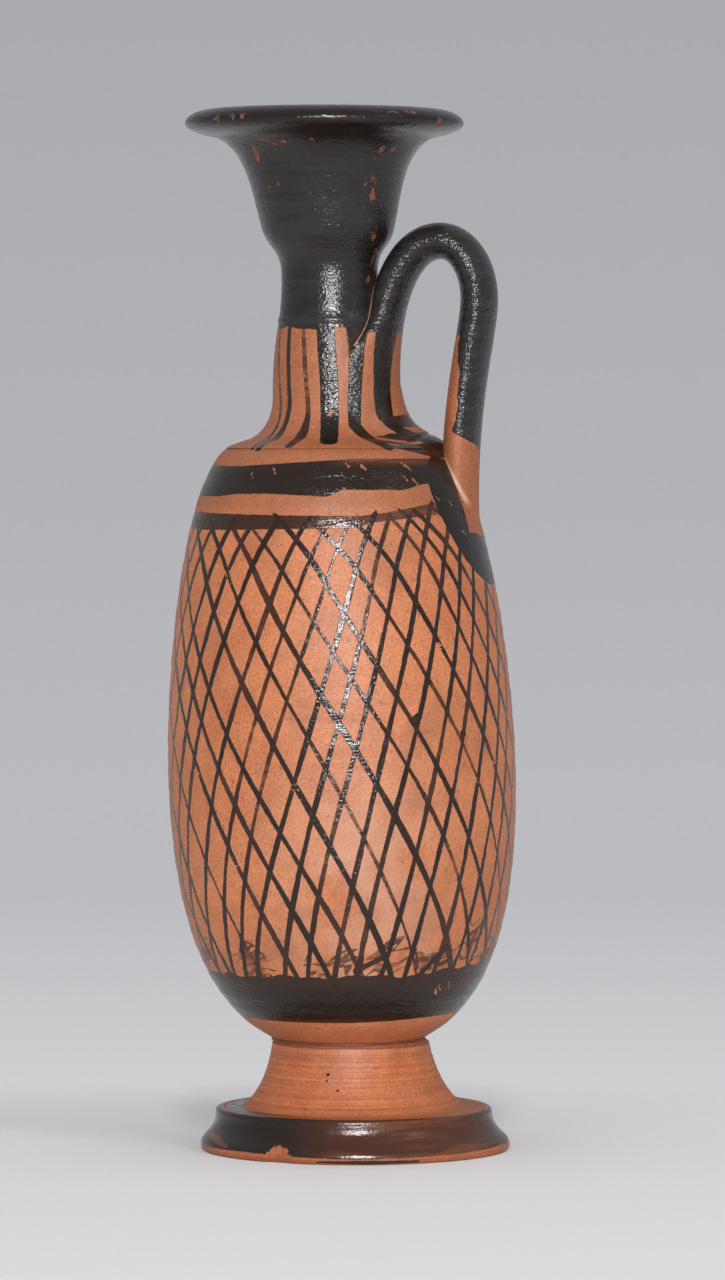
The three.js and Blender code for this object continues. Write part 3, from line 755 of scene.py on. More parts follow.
# Strokes that hang down the neck like tongues and run out on the shoulder: (tone, path)
NECK_STROKES = [
    (0.9, [(-71, 143, 0.8), (-59, 129.8, 0.8), (-54, 125, 0.8)]),
    (0.35, [(-54.5, 125.4, 0.7), (-52.2, 123.3, 1.0), (-48, 121.5, 0.8)]),
    (0.35, [(-50.3, 143, 1.0), (-45, 129.8, 1.0), (-45, 125.6, 1.2), (-44, 123, 1.8), (-43.2, 121.3, 1.0)]),
    (0.8, [(-30.5, 143, 0.8), (-24.2, 129.8, 0.8), (-23.2, 127.2, 0.9)]),
    (0.35, [(-23.2, 127.4, 0.8), (-24, 124, 1.9), (-25, 122, 1.6)]),
    (0.0, [(-6.4, 143, 3.1), (-3.2, 133, 3.1), (-3.2, 122.7, 3.1)]),
    (0.1, [(26, 143, 3.4), (24, 139, 2.4), (20.2, 129.8, 2.2), (18, 125.5, 2.2), (25, 123.3, 2.4),
           (30, 121.9, 2.4)]),
    (0.1, [(57, 145, 4.6), (51, 138, 4.0), (48, 131, 3.5), (47, 126.8, 3.0)]),
    (0.15, [(45.5, 126.2, 1.6), (49, 124.9, 2.0), (56, 123.2, 2.4), (66, 121.6, 2.8)]),
    (0.3, [(27, 123.3, 0.6), (37, 122.5, 1.4), (51, 121.7, 2.0), (70, 121.0, 2.4)]),
    (0.4, [(33, 123.5, 0.5), (43, 123.4, 1.4), (56, 122.6, 2.4)]),
    (0.45, [(29, 122.2, 0.4), (38, 121.7, 1.0), (52, 120.9, 1.6), (78, 120.4, 3.0)]),
    (0.45, [(50, 126.1, 0.6), (62, 125.7, 1.8), (84, 125.2, 3.0)]),
    (0.45, [(50, 125.2, 0.8), (60, 124.7, 2.2), (90, 124.0, 3.4)]),
    (0.55, [(62, 122.4, 2.2), (86, 121.8, 3.6)]),
    (0.2, [(120, 143, 1.8), (117, 131, 1.6), (116, 123.0, 2.0)]),
    (0.1, [(146, 143, 2.8), (144, 131, 2.6), (144, 122.8, 2.8)]),
    (0.4, [(171, 143, 1.2), (168, 131, 1.2), (167, 122.2, 1.8)]),
    (0.1, [(195, 143, 2.6), (193, 131, 2.4), (193, 122.8, 2.6)]),
    (0.3, [(219, 143, 1.4), (217, 131, 1.2), (217, 122.4, 1.8)]),
    (0.2, [(243, 143, 2.0), (241, 131, 1.8), (242, 122.7, 2.2)]),
    (0.7, [(266, 143, 0.9), (265, 131, 0.9), (267, 122.3, 1.2)])]

# The pale seam that shows where the handle's foot was pressed on the shoulder
FOOT_SEAM = [(79, 121.2, 0.8), (70.8, 119.65, 0.7), (67, 117.4, 0.6), (66.5, 114.9, 0.5), (65.8, 112.3, 0.3)]
FOOT_SEAM_MARGIN = 0.3
FOOT_SEAM_STAIN = -0.9
FOOT_SEAM_CHIP = 2


def handle_patch(wall):
    """Distance to the black patch round the handle's foot: a half oval below its level joined to a shorter
    one above, (hypot(across / width, rise / height) - 1) times the width."""
    across = np.radians(np.abs(half_turn(wall.angle - HANDLE_ANGLE))) * wall.radius
    rise = wall.along - wall.level(PATCH_LEVEL)
    height = np.where(rise < 0, PATCH_DROP, PATCH_RISE)
    return (np.hypot(across / PATCH_WIDTH, rise / height) - 1) * PATCH_WIDTH


def net_family(wall, lines, bend, net_top):
    """One family of the net's lines, as layers over the grid. A line's angle is the parabola through its
    angles at the three levels, t (t - 1) / 2 carrying the curve, with a further bend above the first level
    and a slight sway. The count rises by 1 from line to line: the sum, over the lines, of
    (a - line) / (next line - line) held between 0 and 1. With it come the gap to the next line, square to its
    course, half the brush's width, and the tone, browner where the brush ran dry or thin."""
    lines = sorted(lines, key=lambda line: line[1])
    upper, middle, lower, top_width, end_width, end = np.array(lines).T
    z = wall.height
    t = (NET_LEVELS[0] - z) / (NET_LEVELS[0] - NET_LEVELS[1])
    sway, sway_rate = LINE_SWAY
    course = upper + (middle - upper) * t + (lower - 2 * middle + upper) / 2 * t * (t - 1)
    course = course + bend * np.maximum(z - NET_LEVELS[0], 0) ** 2 + sway * np.sin(sway_rate * z + middle)
    swell, swell_rate, swell_start = WIDTH_SWAY
    width = top_width + (end_width - top_width) * share(z, NET_TOP, NET_END)
    width = width * (1 + swell * np.sin(swell_rate * z + swell_start * middle))
    dry, dry_rate, dry_start = DRY_TONE
    tone = LINE_TONE + dry * np.clip(np.sin(dry_rate * z + dry_start * middle), 0, 1)
    tone = tone + THIN_TONE * share(width, FULL_WIDTH, FULL_WIDTH - THIN_RANGE)
    slope = np.radians(np.gradient(course, wall.along[:, 0], axis=0)) * wall.radius
    course = np.hstack([course - 360, course, course + 360])
    gap = np.maximum(np.diff(course, axis=1), CLOSEST)
    turn = np.linspace(0, 360, BODY_TURNS + 1)[None] - FRONT
    count = sum(np.clip((turn - course[:, k:k + 1]) / gap[:, k:k + 1], 0, 1) for k in range(gap.shape[1]))
    after = np.minimum(count[:, :-1].astype(int), gap.shape[1] - 1)
    nearest = np.rint(count[:, :-1]).astype(int) % len(lines)
    slope, width, tone = (np.take_along_axis(values, nearest, axis=1) for values in (slope, width, tone))
    gap = np.radians(np.take_along_axis(gap, after, axis=1)) * wall.radius / np.hypot(1, slope)
    half = BRUSH_SPREAD * np.maximum(width, THIN_WIDTH) / 2
    past = np.maximum(np.maximum(z - net_top - end[nearest], NET_END - z), 0)
    return count, gap, half - past, tone


def brush_line():
    """Distance in millimetres to the nearest of a family of lines, from the count of lines round the jar: the
    count's distance from a whole number, times the gap between lines, less half the brush's width."""
    tree, given, result = node_group(
        "brush line", {"Count": "Float", "Gap": "Float", "Half": "Float"}, {"Distance": "Float"})
    whole = calc(tree, "ROUND", given["Count"])
    aside = calc(tree, "ABSOLUTE", calc(tree, "SUBTRACT", given["Count"], whole))
    away = calc(tree, "SUBTRACT", calc(tree, "MULTIPLY", aside, given["Gap"]), given["Half"])
    tree.links.new(away, result["Distance"])
    return tree


LINE_GROUP = brush_line()


def net_paint(tree, layer):
    """Lays both families of lines over the other paint. The least distance counts, and where a line crosses
    a band the darker tone does. Fine strands, where a swirling noise is near 0.5, fill the frayed places."""
    def read(key):
        return put(tree, "ShaderNodeAttribute", attribute_name=key).outputs["Fac"]

    ways = []
    for family in ("falling", "rising"):
        line = put(tree, "ShaderNodeGroup", node_tree=LINE_GROUP)
        for label, key in (("Count", family), ("Gap", family + "_gap"), ("Half", family + "_half")):
            tree.links.new(read(key), line.inputs[label])
        ways.append(line.outputs["Distance"])
    line = calc(tree, "MINIMUM", *ways)
    line_tone = read("net_tone")
    twice = calc(tree, "MINIMUM", layer["tone"], line_tone)
    over = between(tree, ramp(tree, layer["ink"], *BAND_EDGE), line_tone, twice)
    tone = between(tree, ramp(tree, line, *LINE_EDGE), layer["tone"], over)
    ink = calc(tree, "MINIMUM", layer["ink"], line)
    vector = put(tree, "ShaderNodeTexCoord").outputs["Object"]
    slanting = {"Vector": vector, "Rotation": (0.0, STRAND_SLANT, 0.0), "Scale": STRAND_SIZE}
    pulled = put(tree, "ShaderNodeMapping", slanting, vector_type="TEXTURE").outputs[0]
    swirling = {"Vector": pulled, "Scale": 1.0, "Detail": 1.0, "Distortion": STRAND_SWIRL}
    hair = put(tree, "ShaderNodeTexNoise", swirling)
    aside = calc(tree, "ABSOLUTE", calc(tree, "SUBTRACT", hair.outputs["Fac"], 0.5))
    strand = calc(tree, "SUBTRACT", calc(tree, "MULTIPLY", aside, STRAND_GAP), STRAND_HALF)
    strand = calc(tree, "ADD", strand, read("fray"))
    tone = between(tree, ramp(tree, ink, *STRAND_EDGE), tone, STRAND_TONE)
    return {"ink": calc(tree, "MINIMUM", ink, strand), "tone": tone}


belly_radius = half_width("body")
body_top = top_of("body")
inner_belly = belly_radius - BODY_WALL
inner_base = BODY_BASE_RADIUS - BODY_WALL
inner_top = body_top - BODY_WALL
inner_floor = body_base + BODY_FLOOR
body_outline = outline(
    (0, body_base),
    (3, (BODY_BASE_RADIUS, body_base)),
    (104, (BODY_BASE_RADIUS + BODY_SPREAD, body_base + BODY_LIFT),
     (belly_radius, BELLY_LEVEL - BELLY_LOWER_PULL), (belly_radius, BELLY_LEVEL)),
    (122, (belly_radius, BELLY_LEVEL + BELLY_UPPER_PULL), (SHOULDER_RADIUS + SHOULDER_PULL, body_top),
     (SHOULDER_RADIUS, body_top)),
    (3, (SHOULDER_BORE, body_top)),
    (1, (SHOULDER_BORE, inner_top)),
    (2, (SHOULDER_RADIUS, inner_top)),
    (10, (SHOULDER_RADIUS + 2 * BODY_WALL, inner_top), (inner_belly, BELLY_LEVEL + BELLY_UPPER_PULL),
     (inner_belly, BELLY_LEVEL)),
    (10, (inner_belly, BELLY_LEVEL - BELLY_LOWER_PULL), (inner_base + BODY_SPREAD, inner_floor),
     (inner_base, inner_floor)),
    (2, (0, inner_floor)))
body_wall = turned(body_outline, BODY_TURNS)
angle, height = body_wall.angle, body_wall.height
outside = body_wall.along <= body_wall.level(body_top)

# The bands above and below the net, the patch round the handle's foot, and the washes above the base band
from_handle = np.abs(half_turn(angle - HANDLE_ANGLE))
shoulder_high = around(angle, *SHOULDER_HIGH)
shoulder_band = body_wall.band(around(angle, *SHOULDER_LOW), shoulder_high)
upper_wash = share(height - shoulder_high, *SHOULDER_WASH_FADE)
shoulder_tone = SHOULDER_TONE + upper_wash * around(angle, *SHOULDER_WASH)
brown_high = around(angle, *BROWN_HIGH)
brown_band = body_wall.band(around(angle, *BROWN_LOW), brown_high)
brown_band = np.maximum(brown_band, (HANDLE_CLEAR - from_handle) * CLEAR_SLOPE)
base_high = around(angle, *BASE_HIGH) + waves(np.radians(angle), *BASE_WAVES)
base_band = body_wall.band(around(angle, *BASE_LOW), base_high)
base_tone = BASE_TONE + BASE_UPPER_TONE * share(height, *BASE_UPPER_LEVELS)
base_tone = base_tone + BASE_LOWER_TONE * share(height, *BASE_LOWER_LEVELS)
body_ink, body_tone = joined(
    (shoulder_band, shoulder_tone), (brown_band, around(angle, *BROWN_TONE)), (base_band, base_tone),
    (handle_patch(body_wall), 0.0), (body_wall.spots(NET_DROPS), NET_DROP_TONE),
    *body_wall.strokes(NECK_STROKES), *body_wall.strokes(BASE_SMEARS))
body_ink = np.where(outside, body_ink, FAR)
flick = np.random.default_rng(BACK_WASH_SEED)
back_turns = flick.uniform(*BACK_WASH_TURNS, BACK_WASHES)
back_levels = flick.uniform(*BACK_WASH_LEVELS, BACK_WASHES)
back_washes = [[(turn, level, BACK_WASH_WIDTHS[0]),
                (turn + BACK_WASH_RUN[0], level + BACK_WASH_RUN[1], BACK_WASH_WIDTHS[1])]
               for turn, level in zip(back_turns, back_levels)]
washes = body_wall.nearest(BASE_WASHES + back_washes)
fray = np.where(outside, np.clip(washes - FRAY_SPREAD, 0, FAR) / FRAY_SPREAD, FAR)

# The net: the lines seen on the front, and like ones by an even step round the back. Each starts in the brown
# band, and where two cross the darker tone shows
chance = np.random.default_rng(NET_SEED)
net_layers, net_counts, net_ways, net_tones = {}, {}, [], []
for family, front, (first, last, steps, lead, trail), bend in (
        ("falling", FALLING_LINES, BACK_FALLING, FALLING_BEND),
        ("rising", RISING_LINES, BACK_RISING, RISING_BEND)):
    lines = [(*line, chance.normal(0, NET_SPREAD)) for line in front]
    for middle in np.linspace(first, last, steps)[1:-1] + chance.normal(0, BACK_SCATTER[1], steps - 2):
        upper = middle + lead + chance.normal(0, BACK_SCATTER[0])
        lower = middle + trail + chance.normal(0, BACK_SCATTER[2])
        widths = chance.uniform(*BACK_WIDTHS, 2)
        lines.append((upper, middle, lower, *widths, chance.normal(0, NET_SPREAD)))
    count, gap, half, tone = net_family(body_wall, lines, bend, brown_high - NET_START)
    net_counts[family] = count
    net_layers[family + "_gap"] = gap
    net_layers[family + "_half"] = np.where(outside, half, -FAR)
    net_ways.append(np.abs(count[:, :-1] - np.rint(count[:, :-1])) * gap - half)
    net_tones.append(tone)
nearer_tone = np.where(net_ways[0] < net_ways[1], *net_tones)
net_layers["net_tone"] = np.where(np.maximum(*net_ways) < CROSSING, np.minimum(*net_tones), nearer_tone)

# Scratches through the bands, rubbed places, stains of the clay, painted shade and a painted sheen on it, and
# the seam at the handle's foot
scratches = body_wall.nearest(
    [(turn - SCRATCH_RUN[0], level - SCRATCH_RUN[1], SCRATCH_WIDTHS[0]),
     (turn + SCRATCH_RUN[0], level + SCRATCH_RUN[1], SCRATCH_WIDTHS[1])] for turn, level in SCRATCHES)
body_wear = BODY_WEAR + RUBBED_WEAR * share(body_wall.spots(RUBBED_PLACES), *RUBBED_FADE)
smudge = SMUDGE_STAIN * share(body_wall.spots(SMUDGES), *SMUDGE_FADE)
# Painted shade: the clay darker on the shoulder above the net and on the downward-facing wall under the base
# band
painted_shade = UPPER_PAINTED_SHADE * share(height, *UPPER_PAINTED_SHADE_LEVELS) + LOWER_PAINTED_SHADE * share(height, *LOWER_PAINTED_SHADE_LEVELS)
body_stain = np.maximum(np.maximum(WASH_STAIN * share(washes, *WASH_FADE), smudge), painted_shade)
# Painted sheen: a pale patch down the front that faces the camera, from the belly's middle downwards
painted_sheen = PAINTED_SHEEN * np.exp(-((angle - PAINTED_SHEEN_ANGLE) / PAINTED_SHEEN_SPREAD) ** 2) * share(height, *PAINTED_SHEEN_LEVELS)
foot_seam = body_wall.stroke(*FOOT_SEAM)
body_stain = np.where(foot_seam < FOOT_SEAM_MARGIN, FOOT_SEAM_STAIN, body_stain - painted_sheen)
body_chip = np.minimum(SCRATCH_CHIP * scratches, FOOT_SEAM_CHIP * foot_seam)
ripples = waves(height, *THROWING_RIDGES) - len(THROWING_RIDGES)
body = skinned("body_visual", thrown(body_wall, body_axis, THROWING_RIDGE * ripples * outside), ink=body_ink,
               tone=body_tone, chip=body_chip, wear=body_wear, stain=np.where(outside, body_stain, 0),
               fray=fray, counts=net_counts, **net_layers)
fitted(body, pottery("painted body clay", overlay=net_paint), "body")


# Neck luting
# The ring of soft clay under the neck. It is drawn out with a wet finger over the shoulder and up the flare,
# so that the two run into each other, and the painted tongues cross it.

NECK_FILLET = ((18.8, 121.56), (17.4, 122.38), (16.2, 122.66), (14.2, 123.29))
# The clay of the neck, the handle and the pads: darker than the body's clay, as painted shade on the jar's
# upper part
SHADED_NECK_CLAY = ((0.46, 0.155, 0.066), (0.37, 0.116, 0.047))
neck_axis = body_axis
luting_ring("neck_luting", SHOULDER_BORE, neck_axis, NECK_FILLET[0], (20, *NECK_FILLET[1:]),
            strokes=NECK_STROKES, clay=SHADED_NECK_CLAY)


# Neck
# A short thrown tube that flares out to sit on the shoulder. It stays orange, with tongues of slip that
# the painter drew down from the black of the mouth.

NECK_TURNS = 256
NECK_FOOT_RADIUS = 16.0
NECK_RADIUS = 10.45
NECK_TOP_RADIUS = 9.05
NECK_FLARE_HEIGHT = 8.1
NECK_FLARE_PULL = 7.3
NECK_TAPER_PULL = 4.9
NECK_TAPER_SWELL = 1.2
BORE_RADIUS = 5.0
BORE_END = 1.0
BLACK_FROM = 142.2
BLACK_WAVES = ((0.25, 5, 0), (0.15, 13, math.radians(40)))
BLACK_TONE = 0.1
BLACK_OVER_TOP = 2.0
NECK_CHIPS = [(-3, 127.6, 0.9), (-27, 134, 0.5), (22, 132, 0.5)]

neck_base = base_of("neck")
neck_top = top_of("neck")
flare_top = neck_base + NECK_FLARE_HEIGHT
neck_outline = outline(
    (BORE_RADIUS, neck_base),
    (3, (NECK_FOOT_RADIUS, neck_base)),
    (46, (NECK_FOOT_RADIUS, neck_base), (NECK_RADIUS, flare_top - NECK_FLARE_PULL), (NECK_RADIUS, flare_top)),
    (50, (NECK_TOP_RADIUS + NECK_TAPER_SWELL, neck_top - NECK_TAPER_PULL), (NECK_TOP_RADIUS, neck_top)),
    (3, (BORE_RADIUS, neck_top)),
    (7, (BORE_RADIUS, neck_base + BORE_END)))
neck_wall = turned(neck_outline, NECK_TURNS)
black_edge = BLACK_FROM + waves(np.radians(neck_wall.angle), *BLACK_WAVES)
neck_ink, neck_tone = joined((neck_wall.level(black_edge) - neck_wall.along, BLACK_TONE),
                             *neck_wall.strokes(NECK_STROKES))
neck_ink = np.where(neck_wall.along <= neck_wall.level(neck_top) + BLACK_OVER_TOP, neck_ink, FAR)
neck = skinned("neck_visual", thrown(neck_wall, neck_axis), ring=True, ink=neck_ink, tone=neck_tone,
               chip=neck_wall.spots(NECK_CHIPS), wear=0.3, dull=0.3)
fitted(neck, pottery("thrown neck clay", *SHADED_NECK_CLAY, turning=0.2, pitted=1.3), "neck")


# Mouth luting
# The ring of soft clay between neck and mouth, left as a low rounded ridge and painted black together with
# the mouth.

ALL_BLACK = -5.0
MOUTH_RIDGE = ((9.27, 142.39), (9.12, 143.0), (9.26, 143.3), (9.26, 143.6), (9.26, 143.9), (8.98, 144.2),
               (8.88, 144.85))
luting_ring("mouth_luting", BORE_RADIUS, neck_axis, MOUTH_RIDGE[0], (8, *MOUTH_RIDGE[1:4]),
            (8, *MOUTH_RIDGE[4:]), ink=ALL_BLACK, dull=0.8)


# Mouth
# A funnel thrown in one piece: a narrow waist, a cup that swells above a ledge, and a thick rolled lip.
# It is black all over, satin, and chipped along the lip.

MOUTH_TURNS = 320
MOUTH_LEAN = 0.036
LIP_DROP = 2.35
WAIST_RADIUS = 8.35
WAIST_RISE = 8.2
WAIST_PULL = 4.0
CUP_RADIUS = 11.5
CUP_RISE = 15.8
CUP_TUCK = 0.7
CUP_PULL = 3.3
CUP_SPREAD = 1.4
CUP_LIFT = 5.8
LIP_ROOT_RADIUS = 18.8
LIP_ROOT_DROP = 4.75
LIP_ROOT_SPREAD = 5.2
LIP_ROOT_PULL = 2.2
LIP_UNDER_PULL = 1.4
LIP_TOP_PULL = 1.2
LIP_CREST_RADIUS = 19.6
LIP_CREST_PULL = 2.5
FUNNEL_RADIUS = 14.6
FUNNEL_DROP = 4.8
FUNNEL_PULL = 4.0
FUNNEL_SPREAD = 5.0
THROAT_RISE = 12.7

# How far the paint reaches inwards, and where it is dull, glossy, worn, chipped and scraped
PAINTED_DEPTH = 14.0
CUP_DULL = 0.65
LIP_GLOSS = 0.6
LIP_GLOSS_FADE = (-0.8, 0.7)
MOUTH_WEAR = 0.38
WORN_CUP = [(44, 156, 1), (36, 172, 1)]
WORN_CUP_WEAR, WORN_CUP_FADE = 0.4, (6, 0)
MOUTH_CHIPS = [
    (-50, 177.8, 1.2), (-41, 178.1, 0.9), (-35, 178.2, 0.7), (55, 177.4, 1.0), (38.5, 172.7, 1.0),
    (48.8, 172.8, 1.1), (37, 167.7, 1.1), (37.8, 165.6, 0.9), (38.2, 164.8, 1.2), (46.2, 157.9, 1.1),
    (64, 155.4, 0.9), (52, 150.6, 1.1), (-7.3, 174.2, 0.7), (-24.5, 173.9, 0.5), (30, 166.6, 0.5),
    (44, 158.6, 0.5)]
MOUTH_SCRAPES = [
    [(20, 178.6, 0.1), (34, 178.8, 0.25)],
    [(36.5, 178.85, 0.7), (40.5, 178.9, 0.9)],
    [(-51.5, 171.0, 1.2), (-49, 173.2, 1.2)],
    [(-45, 174.6, 0.3), (-36, 174.3, 0.4), (-31, 173.6, 0.3)],
    [(-49, 166.6, 0.4), (-38, 166.9, 0.4)],
    [(60, 153.5, 0.6), (62, 155.6, 0.6)]]


def mouth_axis(z):
    """Sideways place of the mouth's axis: the neck's at the mouth's base, less the lean times the rise."""
    return neck_axis(mouth_base) - MOUTH_LEAN * (z - mouth_base)


lip_radius = half_width("mouth")
mouth_base = base_of("mouth")
mouth_top = top_of("mouth")
waist = mouth_base + WAIST_RISE
cup = mouth_base + CUP_RISE
lip_root = mouth_top - LIP_ROOT_DROP
lip = mouth_top - LIP_DROP
funnel = mouth_top - FUNNEL_DROP
throat = mouth_base + THROAT_RISE
mouth_outline = outline(
    (BORE_RADIUS, mouth_base),
    (3, (NECK_TOP_RADIUS, mouth_base)),
    (24, (WAIST_RADIUS, waist - WAIST_PULL), (WAIST_RADIUS, waist)),
    (26, (WAIST_RADIUS, waist + WAIST_PULL), (CUP_RADIUS - CUP_TUCK, cup - CUP_PULL), (CUP_RADIUS, cup)),
    (40, (CUP_RADIUS + CUP_SPREAD, cup + CUP_LIFT),
     (LIP_ROOT_RADIUS - LIP_ROOT_SPREAD, lip_root - LIP_ROOT_PULL), (LIP_ROOT_RADIUS, lip_root)),
    (16, (lip_radius, lip - LIP_UNDER_PULL), (lip_radius, lip)),
    (16, (lip_radius, lip + LIP_TOP_PULL), (LIP_CREST_RADIUS + LIP_CREST_PULL, mouth_top),
     (LIP_CREST_RADIUS, mouth_top)),
    (14, (LIP_CREST_RADIUS - LIP_CREST_PULL, mouth_top), (FUNNEL_RADIUS, funnel)),
    (24, (FUNNEL_RADIUS - FUNNEL_SPREAD, funnel - FUNNEL_PULL), (2 * BORE_RADIUS, throat),
     (BORE_RADIUS, throat)),
    (7, (BORE_RADIUS, mouth_base + BORE_END)))
mouth_wall = turned(mouth_outline, MOUTH_TURNS)
inside = mouth_wall.along > mouth_wall.level(mouth_top) + PAINTED_DEPTH
mouth_chip = np.minimum(mouth_wall.spots(MOUTH_CHIPS), mouth_wall.nearest(MOUTH_SCRAPES))
mouth_wear = MOUTH_WEAR + WORN_CUP_WEAR * share(mouth_wall.stroke(*WORN_CUP), *WORN_CUP_FADE)
mouth_dull = CUP_DULL - LIP_GLOSS * share(mouth_wall.height - lip_root, *LIP_GLOSS_FADE)
mouth = skinned("mouth_visual", thrown(mouth_wall, mouth_axis), ring=True, chip=mouth_chip, wear=mouth_wear,
                ink=np.where(inside, FAR, ALL_BLACK), stain=0.75, dull=mouth_dull)
fitted(mouth, pottery("black mouth gloss", turning=0.8, pitted=1.1), "mouth")


# Handle
# A strap pulled from a roll of clay, oval in section, set on the neck under the mouth and bent down to the
# shoulder. The black slip leaves its inner face and its foot bare where the brush couldn't reach.

# The strap's section and path, as (distance from the axis, height), and its spread at the root
HANDLE_WIDTH = 11.0
HANDLE_THICKNESS = 6.3
HANDLE_ROOT = (9.4, 124.0)
HANDLE_ROOT_PULL = (6.8, 140.0)
HANDLE_APEX = (19.6, 157.3)
HANDLE_APEX_BACK = 8.6
HANDLE_APEX_FORE = 3.6
HANDLE_REACH = (26.2, 147.5)
HANDLE_REACH_UP = 5.7
HANDLE_REACH_DOWN = 6.0
HANDLE_FOOT = (22.1, 106.0)
HANDLE_FOOT_PULL = 22.5
HANDLE_FOOT_BEND = 0.7
ROOT_STEPS = 90
ROOT_SPREAD = 9.0
ROOT_SPREAD_LEVELS = (146.5, 136.5)
HANDLE_COLUMNS = 128

# How it is drawn into the walls, at the levels between which it merges with them
SINK = 0.6
SKIN_DIP = 0.02
LOWER_OUTER_TURN = 60
UPPER_OUTER_TURN = 95
MERGE_LEVELS = (143.5, 137.5)
MERGE_WIDTH = 1.4
TIP_LEVELS = (113.0, 107.0)
TIP_WIDTH = 0.7
CRISP_WIDTH = 0.06

# Where the slip ends on it: heights and turns round its section, and the length of a degree of turn
INNER_BARE_BELOW = 141.0
INNER_BARE = ([112.0, 123.5, 126.4, 129.9, 134.2, 139.4, 142.0], [70, 73, 82, 87, 77, 57, 50])
INNER_BARE_WAVES = ((3.0, 0.9, 0), (1.8, 2.1, 1))
TURN_LENGTH = 0.06
OUTER_BARE_BELOW = 121.4
FOOT_SLANT = 5.2
LIMB_BARE_BELOW = 141.6

# The pale seams along its edges, on the neck and at its foot
SEAM_WIDTH = 0.5
FOOT_SEAM_WIDTH = 0.3
SEAM_LEVELS = (137.5, 141.0)
FOOT_SEAM_LEVELS = (111.0, 113.0)
FOOT_SEAM_RISE = 0.45
SEAM_EDGE = (1.4, 0.4)
SEAM_CHIP = (0.8, 2)

# The outer faces that the strap meets, as stretches of the outlines' points: from the belly to the shoulder's
# edge, the neck's flare and taper, and from the mouth's base into its cup
BELLY_UP = slice(107, 230)
FLARE_UP = slice(4, 100)
WAIST_UP = slice(4, 60)


def eased(value):
    """A rise from 0 to 1 with soft ends: 3 v^2 - 2 v^3 for v between 0 and 1."""
    value = np.clip(value, 0, 1)
    return value**2 * (3 - 2 * value)


def swept(path, width, thickness, wrap, columns):
    """A strap of oval section carried along a path of (distance from the axis, height): the point at turn s
    lies at path + normal (thickness / 2) cos s, and (width / 2) sin s to the side. By the share that wrap
    gives, the side is bent round the axis as an arc. Both ends close. Turn 0 faces into the loop."""
    tangent = np.gradient(path, axis=0)
    tangent /= np.hypot(*tangent.T)[:, None]
    turn = np.linspace(0, 2 * np.pi, columns, endpoint=False)
    size = np.ones((len(path), 1))
    size[[0, -1]] = 0
    out = thickness / 2 * size * np.cos(turn)
    side = width[:, None] / 2 * size * np.sin(turn)
    height = path[:, 1:] - tangent[:, :1] * out
    away = path[:, :1] + tangent[:, 1:] * out
    arc = side / path[:, :1]
    bent = wrap[:, None]
    side = side * (1 - bent) + away * np.sin(arc) * bent
    away = away * (1 - bent) + away * np.cos(arc) * bent
    return away, side, height, np.broadcast_to(np.degrees(turn), away.shape)


handle_path = outline(
    HANDLE_ROOT,
    (ROOT_STEPS, HANDLE_ROOT_PULL, (HANDLE_APEX[0] - HANDLE_APEX_BACK, HANDLE_APEX[1]), HANDLE_APEX),
    (60, (HANDLE_APEX[0] + HANDLE_APEX_FORE, HANDLE_APEX[1]),
     (HANDLE_REACH[0], HANDLE_REACH[1] + HANDLE_REACH_UP), HANDLE_REACH),
    (100, (HANDLE_REACH[0], HANDLE_REACH[1] - HANDLE_REACH_DOWN),
     (HANDLE_FOOT[0] - HANDLE_FOOT_BEND, HANDLE_FOOT[1] + HANDLE_FOOT_PULL), HANDLE_FOOT))
lower_limb = np.arange(len(handle_path))[:, None] > ROOT_STEPS
root_share = np.where(lower_limb[:, 0], 0, eased(share(handle_path[:, 1], *ROOT_SPREAD_LEVELS)))
away, side, height, section = swept(
    handle_path, HANDLE_WIDTH + ROOT_SPREAD * root_share, HANDLE_THICKNESS, root_share, HANDLE_COLUMNS)

# Where the strap meets the thrown walls it dives under their surface. Its edge stands out crisply on the
# upper neck and on the shoulder, but lower down the neck and at its tip it is smoothed into the wall: a
# quarter of (clear + width)^2 / width replaces the clearance within that width
wall_outline = np.concatenate([body_outline[BELLY_UP], neck_outline[FLARE_UP], mouth_outline[WAIST_UP]])
wall_radius = np.interp(height, wall_outline[:, 1], wall_outline[:, 0])
reach = np.hypot(away, side)
clear = reach - wall_radius
merge = MERGE_WIDTH * eased(share(height, *MERGE_LEVELS))
tip = TIP_WIDTH * eased(share(height, *TIP_LEVELS))
soft = CRISP_WIDTH + np.where(lower_limb, tip, merge)
smoothed = np.where(clear > soft, clear, np.maximum(clear + soft, 0) ** 2 / (4 * soft))
facing_in = np.minimum(section, 360 - section)
outer_half = np.where(lower_limb, facing_in > LOWER_OUTER_TURN, facing_in < UPPER_OUTER_TURN)
floor = np.where(outer_half, smoothed - SKIN_DIP, np.maximum(clear, -SINK))
sunk = (wall_radius + np.maximum(floor, -SINK)) / np.maximum(reach, NEVER_ZERO)
away, side = away * sunk, side * sunk
handle_grid = np.stack([body_axis(height) + away, side, height], -1)

# The brush went round the strap, but not into the loop below the bend, nor down to its foot
handle_wall = Wall(wall_outline, HANDLE_ANGLE + np.degrees(np.arctan2(side, away)),
                   np.interp(height, wall_outline[:, 1], measured(wall_outline)))
tongues = handle_wall.nearest(path for tone, path in NECK_STROKES)
bare_turn = np.interp(height, *INNER_BARE) + waves(height, *INNER_BARE_WAVES)
inner_bare = np.minimum((bare_turn - facing_in) * TURN_LENGTH, INNER_BARE_BELOW - height)
foot_bare = OUTER_BARE_BELOW + FOOT_SLANT * (1 - facing_in / 180) - height
upper_ink = np.minimum(LIMB_BARE_BELOW - height, tongues)
handle_ink = np.where(lower_limb, np.maximum(inner_bare, foot_bare), upper_ink)
in_seam = eased(np.where(lower_limb, share(height, *FOOT_SEAM_LEVELS), share(height, *SEAM_LEVELS)))
seam_rise = np.where(lower_limb, FOOT_SEAM_RISE, 0)
